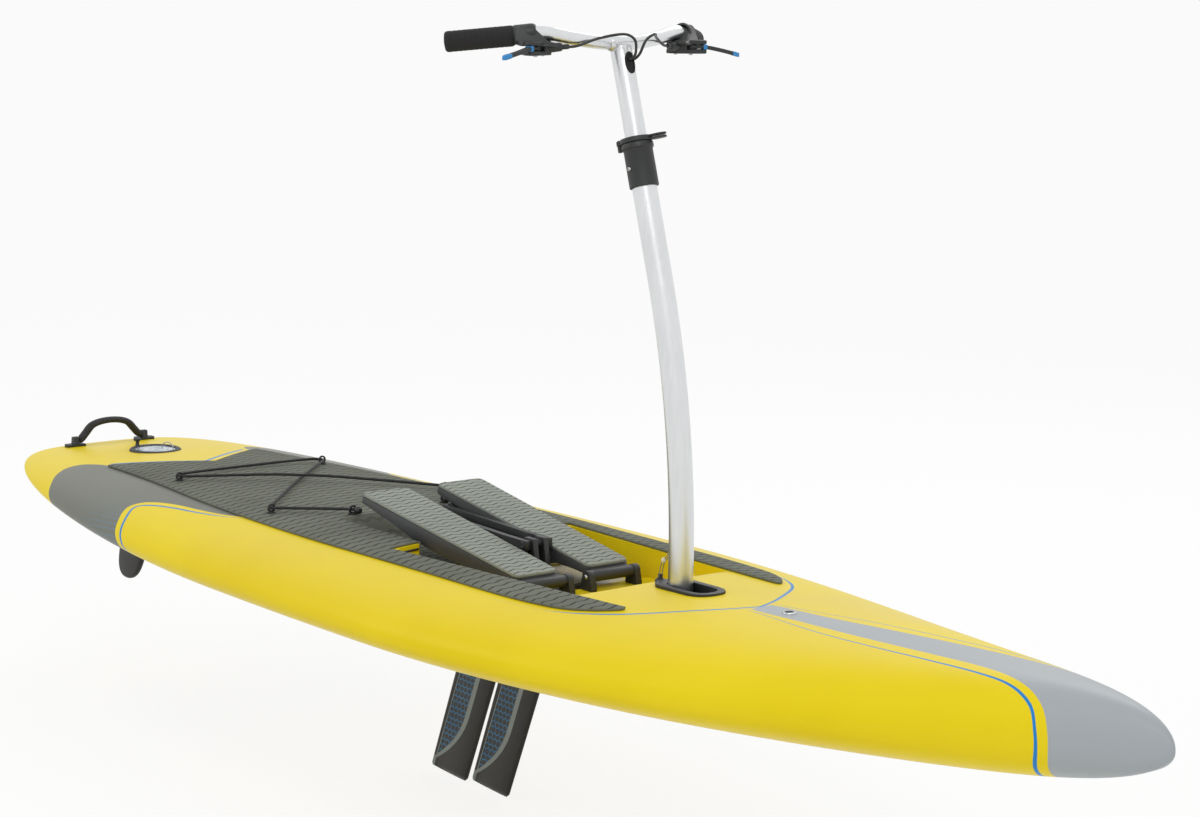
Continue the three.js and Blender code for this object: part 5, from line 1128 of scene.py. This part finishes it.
# ---------------------------------------------------------------- hatch over the rudder drum


def make_hatch():
    z = HATCH_SEAT + GAP
    centre = (HATCH_X, 0, 0)
    inner = HATCH_BORE - 8 * MM
    rim = [
        (inner, z), (HATCH_RADIUS - 1 * MM, z), (HATCH_RADIUS, z + 1 * MM), (HATCH_RADIUS, z + 5.5 * MM),
        (HATCH_RADIUS - 1.5 * MM, z + 8 * MM), (HATCH_RADIUS - 4 * MM, z + 9 * MM),
        (HATCH_BORE + 1 * MM, z + 9 * MM),
        (HATCH_BORE, z + 8 * MM), (HATCH_BORE, z + 3 * MM), (inner, z + 3 * MM), (inner, z),
    ]
    finished("hatch_rim", turned(rim, 72, centre), BLACK_NYLON, "board", ["hatch_ring"])
    low = z + 3 * MM + GAP
    edge = HATCH_BORE - GAP
    lens = [
        (0, low), (edge, low), (edge, low + 3 * MM), (edge - 1.5 * MM, low + 4 * MM),
        (32 * MM, low + 4.3 * MM),
        (31 * MM, low + 3.4 * MM), (29 * MM, low + 3.4 * MM), (28 * MM, low + 4.6 * MM),
        (12 * MM, low + 5.3 * MM), (11 * MM, low + 4.4 * MM), (0, low + 4.4 * MM),
    ]
    finished("hatch_window", turned(lens, 72, centre), LENS, "board", ["hatch_lens"])
    top = z + 9 * MM
    knob_x, knob_y = HATCH_X + 52 * MM * math.cos(math.radians(160)), -52 * MM * math.sin(math.radians(160))
    knob = [
        (0, top - 5 * MM), (2.5 * MM, top - 5 * MM), (2.5 * MM, top + GAP), (5.5 * MM, top + GAP),
        (5 * MM, top + 2 * MM), (3.8 * MM, top + 4 * MM), (3.8 * MM, top + 9 * MM), (6 * MM, top + 11 * MM),
        (9 * MM, top + 12.5 * MM), (9.2 * MM, top + 15 * MM), (8 * MM, top + 17.2 * MM),
        (4 * MM, top + 18 * MM), (0, top + 18 * MM),
    ]
    finished("rudder_stow_knob", turned(knob, 32, (knob_x, knob_y, 0)), BLACK_NYLON, "knob",
             ["rudder_knob"])
    # the wire pull of the window stands in a small arch beside the knob
    pull = [(HATCH_X + 10 * MM + 15 * MM * math.cos(turn), 20 * MM * math.cos(turn) * 0.3 + 26 * MM,
             low + 3 * MM + 15 * MM * math.sin(turn)) for turn in np.linspace(0, math.pi, 15)]
    finished("window_pull", rope(pull, 1.1 * MM, 8), WIRE, "board")


make_hatch()

# ---------------------------------------------------------------- mast and its socket

RAKE = math.radians(17)
UPWARD = Vector((-math.sin(RAKE), 0, math.cos(RAKE)))
FORWARD = Vector((math.cos(RAKE), 0, math.sin(RAKE)))
BEND_RADIUS, BEND_Z = 1.750, 0.200
BEND_TOP = Vector((-BEND_RADIUS * (1 - math.cos(RAKE)), 0, BEND_Z + BEND_RADIUS * math.sin(RAKE)))
COLLAR_TOP = BEND_TOP + UPWARD * (0.225 + 0.014 + GAP)
BAR_HEIGHT = 0.182  # along the tube, above the collar
BAR_CENTRE = COLLAR_TOP + UPWARD * BAR_HEIGHT
MAST_RADIUS, SLIDE_RADIUS, BAR_RADIUS = 22.5 * MM, 19.5 * MM, 12.7 * MM


def beside_tube(along, forward, port):
    return COLLAR_TOP + UPWARD * along + FORWARD * forward + Vector((0, port, 0))


def make_mast():
    path = [Vector((0, 0, 0.108)), Vector((0, 0, 0.155))]
    for step in range(33):
        angle = RAKE * step / 32
        path.append(Vector((-BEND_RADIUS * (1 - math.cos(angle)), 0,
                            BEND_Z + BEND_RADIUS * math.sin(angle))))
    path.append(BEND_TOP + UPWARD * 0.225)
    finished("mast_tube", rope(path, MAST_RADIUS, 64), ANODISED, "mast", ["mast_lower"],
             angle=50)
    upper = [beside_tube(along, 0, 0) for along in (-0.130, -0.05, 0.05, 0.12, 0.1745)]
    finished("mast_slide_tube", rope(upper, SLIDE_RADIUS, 56), ANODISED, "steering",
             ["mast_upper"], angle=50)


make_mast()
carry("mast_socket", BLACK_NYLON, 1.2 * MM, 3)
carry("mast_pin", STEEL, 0.6 * MM)


def make_grommet():
    """An oval rubber rim pressed round the cables' opening, high on the front of the sliding tube."""
    centre, half_height, half_width, tube = 0.142, 18 * MM, 8.5 * MM, SLIDE_RADIUS

    def on_tube(across, along, height):
        turn = across / tube
        return beside_tube(centre + along, (tube + height) * math.cos(turn),
                           (tube + height) * math.sin(turn))
    opening = oval(half_width, half_height, 40)
    rim = rope([on_tube(across, along, 0.6 * MM) for across, along in opening], 2.2 * MM, 12, closed=True)
    web = slab(opening, 0.5 * MM)
    grid_cut(web, 3 * MM)
    for vert in web.verts:
        vert.co = on_tube(vert.co.x, vert.co.y, vert.co.z + 0.1 * MM)
    finished("cable_grommet_rim", joined(rim, web), GRIP_FOAM, "steering",
             ["cable_grommet"])


make_grommet()

COLLAR_RADIUS = 26.5 * MM
CLAMP_ANGLE, CLAMP_REACH, CLAMP_THICK = math.radians(215), COLLAR_RADIUS + 6 * MM, 9 * MM


def make_collar():
    """The moulded sleeve over the joint of the tubes, with a rolled lip and an ear for the lever's pin."""
    profile = mm([(23.0, -80), (25.6, -80), (26.5, -79), (26.3, -14), (27.6, -11), (29.0, -9.5),
                  (29.0, -2), (28.0, -0.4), (20, 0), (20, -14), (23.0, -14), (23.0, -80)])
    ear_place = beside_tube(0, CLAMP_REACH * math.cos(CLAMP_ANGLE), CLAMP_REACH * math.sin(CLAMP_ANGLE))
    ear = turned([(0, -11 * MM), (3.4 * MM, -11 * MM), (4.2 * MM, -10 * MM), (4.2 * MM, -1 * MM),
                  (3.8 * MM, 0), (2.8 * MM, 0),
                  (2.8 * MM, CLAMP_THICK + 1.5 * MM), (0, CLAMP_THICK + 1.5 * MM)], 28, ear_place, UPWARD)
    finished("collar_sleeve", joined(turned(profile, 64, COLLAR_TOP, UPWARD), ear), BLACK_NYLON, "mast",
             ["mast_collar"])
    screws = [screw(4 * MM, beside_tube(-46 * MM, 26.4 * MM * math.cos(turn), 26.4 * MM * math.sin(turn)),
                    FORWARD * math.cos(turn) + Vector((0, math.sin(turn), 0)))
              for turn in (math.radians(-92), math.radians(88))]
    finished("collar_screws", joined(*screws), STEEL, "mast")


def make_clamp_lever():
    """The cam lever lies on the collar's lip, hugs the tube to its front and ends in two prongs."""
    inner, outer = 22.5 * MM, 30 * MM
    end = math.radians(395)

    def arc(radius, first, last):
        return [(radius * math.cos(turn), radius * math.sin(turn))
                for turn in np.linspace(first, last, 28)]

    def place(bm, low):
        frame_turn = Matrix((FORWARD, Vector((0, 1, 0)), UPWARD)).transposed().to_4x4()
        move = Matrix.Translation(COLLAR_TOP + UPWARD * low)
        bmesh.ops.transform(bm, matrix=move @ frame_turn, verts=bm.verts)
        return bm
    bow = arc(outer, CLAMP_ANGLE - 0.05, end) + arc(inner, end + 0.1, CLAMP_ANGLE - 0.05)
    parts = [place(slab(bow, CLAMP_THICK, bevel=1.2 * MM, segments=3), GAP)]
    prong = rounded(mm([(20, 12), (24, 4), (46, 18), (50, 30), (40, 36), (24, 27)]), 6 * MM)
    for low in (GAP, GAP + 5.6 * MM):
        parts.append(place(slab(prong, 3.4 * MM, bevel=0.8 * MM, segments=2), low))
    boss = oval(5 * MM, 5 * MM, 28, CLAMP_REACH * math.cos(CLAMP_ANGLE),
                CLAMP_REACH * math.sin(CLAMP_ANGLE))
    parts.append(place(slab(boss, CLAMP_THICK, bevel=1.2 * MM, segments=3), GAP))
    finished("cam_lever", joined(*parts), BLACK_NYLON, "clamp", ["clamp_lever"])


make_collar()
make_clamp_lever()

# ---------------------------------------------------------------- handlebar, grips and levers

BAR_SIDE = [(-2, 45, 2), (-11, 100, 9), (-25, 145, 17), (-40, 183, 16), (-79, 228, 8), (-127, 284, 0)]


def bar_place(index, hand):
    x, y, z = BAR_SIDE[index]
    return BAR_CENTRE + Vector((x, hand * y, z)) * MM


def make_handlebar():
    points = [bar_place(index, -1) for index in reversed(range(6))] + [BAR_CENTRE] + [
        bar_place(index, 1) for index in range(6)]
    finished("handlebar_tube", rope(smooth_path(points, 8), BAR_RADIUS, 40), ANODISED, "steering",
             ["handlebar"], angle=50)
    # the weld saddle where the bar crosses the tube's top
    saddle = turned(mm([(12.0, -27), (13.0, -25.5), (14.4, -22), (15.0, -16), (15.0, 16), (14.4, 22),
                        (13.0, 25.5), (12.0, 27), (12.0, -27)]), 40, BAR_CENTRE, (0, 1, 0))
    finished("weld_saddle", saddle, ANODISED, "steering")


def make_grip(letter, hand):
    end, knee = bar_place(5, hand), bar_place(4, hand)
    way = (knee - end).normalized()
    start = end - way * 7.3 * MM
    grip = mm([(0, 0), (11, 0), (15, 0.8), (17.6, 3), (18.5, 6.5)])
    for ring in range(11):
        # shallow rings round the foam, 9 mm apart
        along = (14 + 9 * ring) * MM
        grip += [(18.5 * MM, along - 1.2 * MM), (18.0 * MM, along), (18.5 * MM, along + 1.2 * MM)]
    grip += mm([(18.5, 118), (17.8, 121), (16, 123), (12.8, 123.3)])
    finished(f"grip_foam_{letter}", turned(grip, 48, start, way), GRIP_FOAM, "steering",
             [f"grip_{letter}"])
    plug = mm([(0, -1.0), (4.5, -0.9), (6.2, -0.2), (6.4, 1.5), (0, 1.5)])
    finished(f"grip_plug_{letter}", turned(plug, 28, start, way), BLUE_NYLON, "steering")


def cable_exit(hand):
    """Where a steering cable leaves its lever's housing, and in which direction."""
    place = bar_place(3, hand) + Vector((32, -hand * 58, -22)) * MM
    return place, Vector((0.38, -hand * 0.92, 0.06)).normalized()


def make_lever_housing(letter, hand):
    """The moulded bracket: a sleeve round the bar, a three-cornered cheek ahead of it, a slotted block."""
    clamp = bar_place(3, hand)
    way = (bar_place(3, hand) - bar_place(4, hand)).normalized()
    sleeve = turned(mm([(12.6, -18.6), (16.8, -18.6), (17.4, -17), (17.2, 12), (16.4, 17), (14.8, 20),
                        (12.6, 21), (12.6, -18.6)]), 40, clamp, way)
    # the cheek's outline: inboard along the bar, and up
    cheek_line = rounded([(-20, -12), (-20, 11), (-4, 15.5), (8, 15.5), (15, 11), (40, -13), (54, -14),
                          (54, -20.5), (-14, -20.5), (-14, -12)], 4, 3)
    cheek = slab([tuple(point * MM) for point in cheek_line], 22 * MM, bevel=2.4 * MM, segments=3)
    inboard = Vector((0.48, -hand * 0.877, 0))
    ahead = Vector((0.877, hand * 0.48, 0))
    for vert in cheek.verts:
        along, upward, forward = vert.co
        lean = max(0, -upward) * (0.75 if forward > 11 * MM else 0.2)
        vert.co = clamp + inboard * along + UP * upward + ahead * (forward - 8 * MM + lean)

    def plate(outline, low, high):
        bm = slab(rounded([(x * MM, -hand * y * MM) for x, y in outline], 7 * MM), (high - low) * MM,
                  bevel=2 * MM, segments=3)
        bmesh.ops.translate(bm, verts=bm.verts, vec=clamp + Vector((0, 0, low)) * MM)
        return bm
    block = [(-6, -8), (14, -14), (24, -22), (44, -22), (43, -2), (26, 42), (4, 46), (-10, 22)]
    upper, lower = plate(block, -19.3, -12), plate(block, -36.5, -28.7)
    rear = plate([(-9, 19), (2, 17), (36, 18), (26, 41), (4, 45)], -31, -17)
    exit_place, exit_way = cable_exit(hand)
    snout = turned(mm([(0, -40), (9.5, -38), (9, -22), (7.6, -3), (6.6, -0.6), (5.8, 0), (0, 0)]), 32,
                   exit_place, exit_way)
    finished(f"lever_housing_{letter}", joined(sleeve, cheek, upper, lower, rear, snout), BLACK_NYLON,
             "steering", [f"lever_body_{letter}"])
    face = clamp + inboard * 3 * MM + ahead * 14 * MM
    heads = joined(
        screw(2.8 * MM, face + UP * 1 * MM, ahead),
        screw(4 * MM, (clamp.x + 26 * MM, clamp.y - hand * 4 * MM, clamp.z - 36.5 * MM), (0, 0, -1)),
        screw(3 * MM, (clamp.x + 14 * MM, clamp.y - hand * 30 * MM, clamp.z - 36.5 * MM), (0, 0, -1)),
    )
    finished(f"lever_screws_{letter}", heads, STEEL, "steering")


def make_lever(letter, word, hand):
    """The blade bows forward from its hub, droops, and narrows to a blue tip."""
    pivot = bar_place(3, hand) + Vector((26 * MM, -hand * 4 * MM, -24 * MM))
    way, side = Vector((0.3, hand * 0.954, 0)), Vector((0.954, -hand * 0.3, 0))
    blade_end, reach = 82 * MM, 96 * MM

    def shaped(stations, thick, bevel):
        """A bar of the given half widths along the blade's line, level at the hub and drooping outboard."""
        fore = [(along, half) for along, half in stations]
        aft = [(along, -half) for along, half in reversed(stations)]
        bm = slab(fore + aft, thick, bevel=bevel, segments=3)
        grid_cut(bm, 8 * MM)
        for vert in bm.verts:
            along, across, height = vert.co
            bow = 6 * MM * math.sin(math.pi * min(1, max(0, along / reach)))
            droop = 15 * MM * max(0, (along - 22 * MM) / (reach - 22 * MM)) ** 1.2
            vert.co = pivot + way * along + side * (across + bow) + UP * (height - thick / 2 - droop)
        return bm

    disc = slab(oval(9 * MM, 9 * MM, 24), 7.6 * MM, bevel=1 * MM)
    bmesh.ops.translate(disc, verts=disc.verts, vec=pivot - Vector((0, 0, 3.8 * MM)))
    arm = shaped([(2 * MM, 7.5 * MM), (16 * MM, 7.0 * MM), (34 * MM, 5.8 * MM), (56 * MM, 5.2 * MM),
                  (blade_end, 5 * MM)],
                 7.2 * MM, 1.6 * MM)
    finished(f"lever_blade_{letter}", joined(disc, arm), BLACK_NYLON, f"lever_{word}",
             [f"steer_lever_{letter}"])
    tip = shaped([(blade_end - 1 * MM, 5.5 * MM), (88 * MM, 5.6 * MM), (93 * MM, 4.8 * MM),
                  (reach, 2.8 * MM)],
                 8.2 * MM, 1.6 * MM)
    band = shaped([(21 * MM, 7.4 * MM), (28 * MM, 7.0 * MM)], 9.4 * MM, 1 * MM)
    finished(f"lever_tip_{letter}", joined(tip, band), BLUE_NYLON, f"lever_{word}")


def make_steer_cable(letter, hand):
    place, way = cable_exit(hand)
    start = place + way * 1.2 * MM

    def grommet(forward):
        return beside_tube(BAR_HEIGHT - 0.034 - 0.25 * (forward - SLIDE_RADIUS), forward, hand * 3.8 * MM)
    mouth = grommet(0.027)
    points = [
        start, start + way * 24 * MM, start + Vector((30, -hand * 58, 16)) * MM,
        mouth + Vector((20, hand * 28, 44)) * MM, mouth + Vector((21, hand * 9, 34)) * MM,
        mouth + Vector((13, hand * 1, 9)) * MM, mouth, grommet(0.019), grommet(0.011),
    ]
    finished(f"cable_{letter}", rope(smooth_path(points, 8), 2.5 * MM, 16), CABLE_SHEATH, "steering",
             [f"steer_cable_{letter}"])
    ferrule = mm([(2.6, 0), (4.6, 0), (4.6, 9), (3.6, 12), (2.6, 12)])
    finished(f"cable_adjuster_{letter}", turned(ferrule, 24, start, way), BLACK_NYLON, "steering")


make_handlebar()
for letter, word, hand in SIDES:
    make_grip(letter, hand)
    make_lever_housing(letter, hand)
    make_lever(letter, word, hand)
    make_steer_cable(letter, hand)

# ---------------------------------------------------------------- stay wire behind the mast


def make_stay():
    x, ferrule_x = -56 * MM, -(MAST_RADIUS + 5.6 * MM)  # the ferrule lies behind the mast
    z = deck_height(x, 0) + GAP + 10 * MM
    wires = []
    for hand in (-1, 1):
        points = [(x + 0.4 * MM, hand * 3.2 * MM, z - 0.4 * MM), (x + 5 * MM, hand * 3.4 * MM, z + 22 * MM),
                  (ferrule_x - 3 * MM, hand * 3 * MM, 0.220), (ferrule_x, hand * 1.3 * MM, 0.254)]
        wires.append(rope(smooth_path(points, 8), 1.0 * MM, 8))
    wires.append(rope([(x + 0.4 * MM, -4.4 * MM, z), (x + 0.4 * MM, 4.4 * MM, z)], 1.4 * MM, 12))
    finished("stay_wires", joined(*wires), WIRE, "board", ["stay_wire"])
    ferrule = [(0, 0.249), (2.4 * MM, 0.249), (3 * MM, 0.251), (3 * MM, 0.266), (2.2 * MM, 0.268),
               (0, 0.268)]
    finished("stay_ferrule", turned(ferrule, 20, (ferrule_x, 0, 0)), BLACK_NYLON, "board")
    bead = mm([(0, -5), (2.8, -4.4), (4.4, -1.6), (4.4, 1.6), (2.8, 4.4), (0, 5)])
    finished("stay_bead", turned(bead, 20, (x + 12 * MM, -3.4 * MM, z + 31 * MM)), CREAM_ABS, "board")


make_stay()
carry("stay_fitting", BLACK_NYLON, 0.8 * MM)

# ---------------------------------------------------------------- stern handle, bungee and deck fittings

HANDLE_X, HANDLE_FOOT_Y = -2.025, 0.090
HANDLE_FOOT_Z = deck_height(HANDLE_X, HANDLE_FOOT_Y)


def make_handle():
    """A padded web strap, oval in section, arched between its two feet."""
    z = HANDLE_FOOT_Z + 15 * MM
    half = HANDLE_FOOT_Y - 8.6 * MM
    side = [(half, z), (half - 5 * MM, z), (half - 18 * MM, z + 13 * MM), (half * 0.55, z + 31 * MM)]
    points = [(HANDLE_X, -y, h) for y, h in side] + [(HANDLE_X, 0, z + 39 * MM)] + [
        (HANDLE_X, y, h) for y, h in reversed(side)]
    path = smooth_path(points, 8)
    strap = rope(path, 9 * MM, 20)
    for vert in strap.verts:
        # each section keeps its width fore and aft, and is pressed flatter through the web
        nearest = min(path, key=lambda point: (point - vert.co).length)
        vert.co.z = nearest.z + (vert.co.z - nearest.z) * 0.8
        vert.co.x = HANDLE_X + (vert.co.x - HANDLE_X) * 1.25
    finished("handle_strap", strap, HANDLE_WEB, "board", ["handle_grip"], angle=60)


make_handle()

EYES = {"aft": (-1.415, 0.180), "mid": (-1.005, 0.214), "end": (-0.868, 0.112)}
EYE_LIFT = 10 * MM


def make_bungee():
    """About 1.8 m of 6 mm braided cord, laced through six eyes and ending in two ball knobs."""
    (aft_x, aft_y), (mid_x, mid_y), (end_x, end_y) = EYES.values()
    cross_x = (aft_x * mid_y + mid_x * aft_y) / (aft_y + mid_y)

    def half(hand, rise):
        def at(x, y, lift=0):
            return Vector((x, hand * y, deck_height(x, y) + GAP + PAD_THICK + EYE_LIFT + lift))
        return [
            at(end_x + 8 * MM, end_y - 4 * MM), at(end_x, end_y), at(end_x - 10 * MM, end_y + 6 * MM),
            at(mid_x + 16 * MM, mid_y - 10 * MM), at(mid_x + 6 * MM, mid_y - 2 * MM), at(mid_x, mid_y),
            at(mid_x - 6 * MM, mid_y - 2 * MM), at(mid_x - 16 * MM, mid_y - 11 * MM),
            at(cross_x + 40 * MM, 40 * MM, rise), at(cross_x, 0, rise),
            at(cross_x - 40 * MM, -40 * MM, rise),
            at(aft_x + 14 * MM, -aft_y + 7 * MM), at(aft_x + 5 * MM, -aft_y + 1 * MM), at(aft_x, -aft_y),
            at(aft_x - 7 * MM, -aft_y + 2 * MM), at(aft_x - 12 * MM, -aft_y + 10 * MM),
            at(aft_x - 13 * MM, -aft_y + 24 * MM),
        ]
    points = half(1, 3.6 * MM) + half(-1, -3.6 * MM)[::-1]
    finished("bungee_cord", rope(smooth_path(points, 6), 3 * MM, 12), BUNGEE_BRAID, "board",
             ["bungee"], angle=60)
    knobs = []
    for end in (points[0], points[-1]):
        knobs.append(turned(mm([(0, -7.5), (4, -7), (7, -4), (8, 0), (7, 4), (4.6, 6.6), (4.2, 8), (0, 8)]),
                            24, end + Vector((6 * MM, 0, 0)), (-1, 0, 0)))
    finished("bungee_knobs", joined(*knobs), BLACK_NYLON, "board")


make_bungee()
for index in range(1, 7):
    carry(f"deck_eye_{index}", BLACK_NYLON, 1.0 * MM, 3)
for letter, _, _ in SIDES:
    carry(f"handle_foot_{letter}", BLACK_NYLON, 1.6 * MM, 3)


VENT_X = 0.285


def make_vent():
    x = VENT_X
    z = deck_height(x, 0)
    ring = [(8.5 * MM, z - 4 * MM), (13 * MM, z - 4 * MM), (13 * MM, z + 1.5 * MM), (12 * MM, z + 3 * MM),
            (9.5 * MM, z + 3.4 * MM), (8.5 * MM, z + 2.6 * MM), (8.5 * MM, z - 4 * MM)]
    finished("vent_ring", turned(ring, 40, (x, 0, 0)), STEEL, "board", ["bow_vent"])
    plug = [(0, z - 3 * MM), (8.3 * MM, z - 3 * MM), (8.3 * MM, z + 1.0 * MM), (7 * MM, z + 1.8 * MM),
            (5 * MM, z + 1.2 * MM), (0, z + 1.2 * MM)]
    bar = slab(rounded(mm([(-6, -1.4), (6, -1.4), (6, 1.4), (-6, 1.4)]), 1 * MM),
               1.6 * MM, bevel=0.4 * MM)
    bmesh.ops.translate(bar, verts=bar.verts, vec=(x, 0, z + 1.1 * MM))
    finished("vent_plug", joined(turned(plug, 32, (x, 0, 0)), bar), BLACK_COMPOSITE, "board")


make_vent()

# a black rubber edging strip lies on the well's rear wall, just under the deck, on each side of the trough
for letter, _, hand in SIDES:
    strip = [(WELL_REAR + 1.5 * MM, hand * y, deck_height(WELL_REAR, y) - 9 * MM)
             for y in np.linspace(TROUGH_HALF + 0.003, WELL_REAR_HALF - 0.020, 9)]
    finished(f"well_edging_{letter}", rope([Vector(point) for point in strip], 2.2 * MM, 12), CABLE_SHEATH,
             "board")
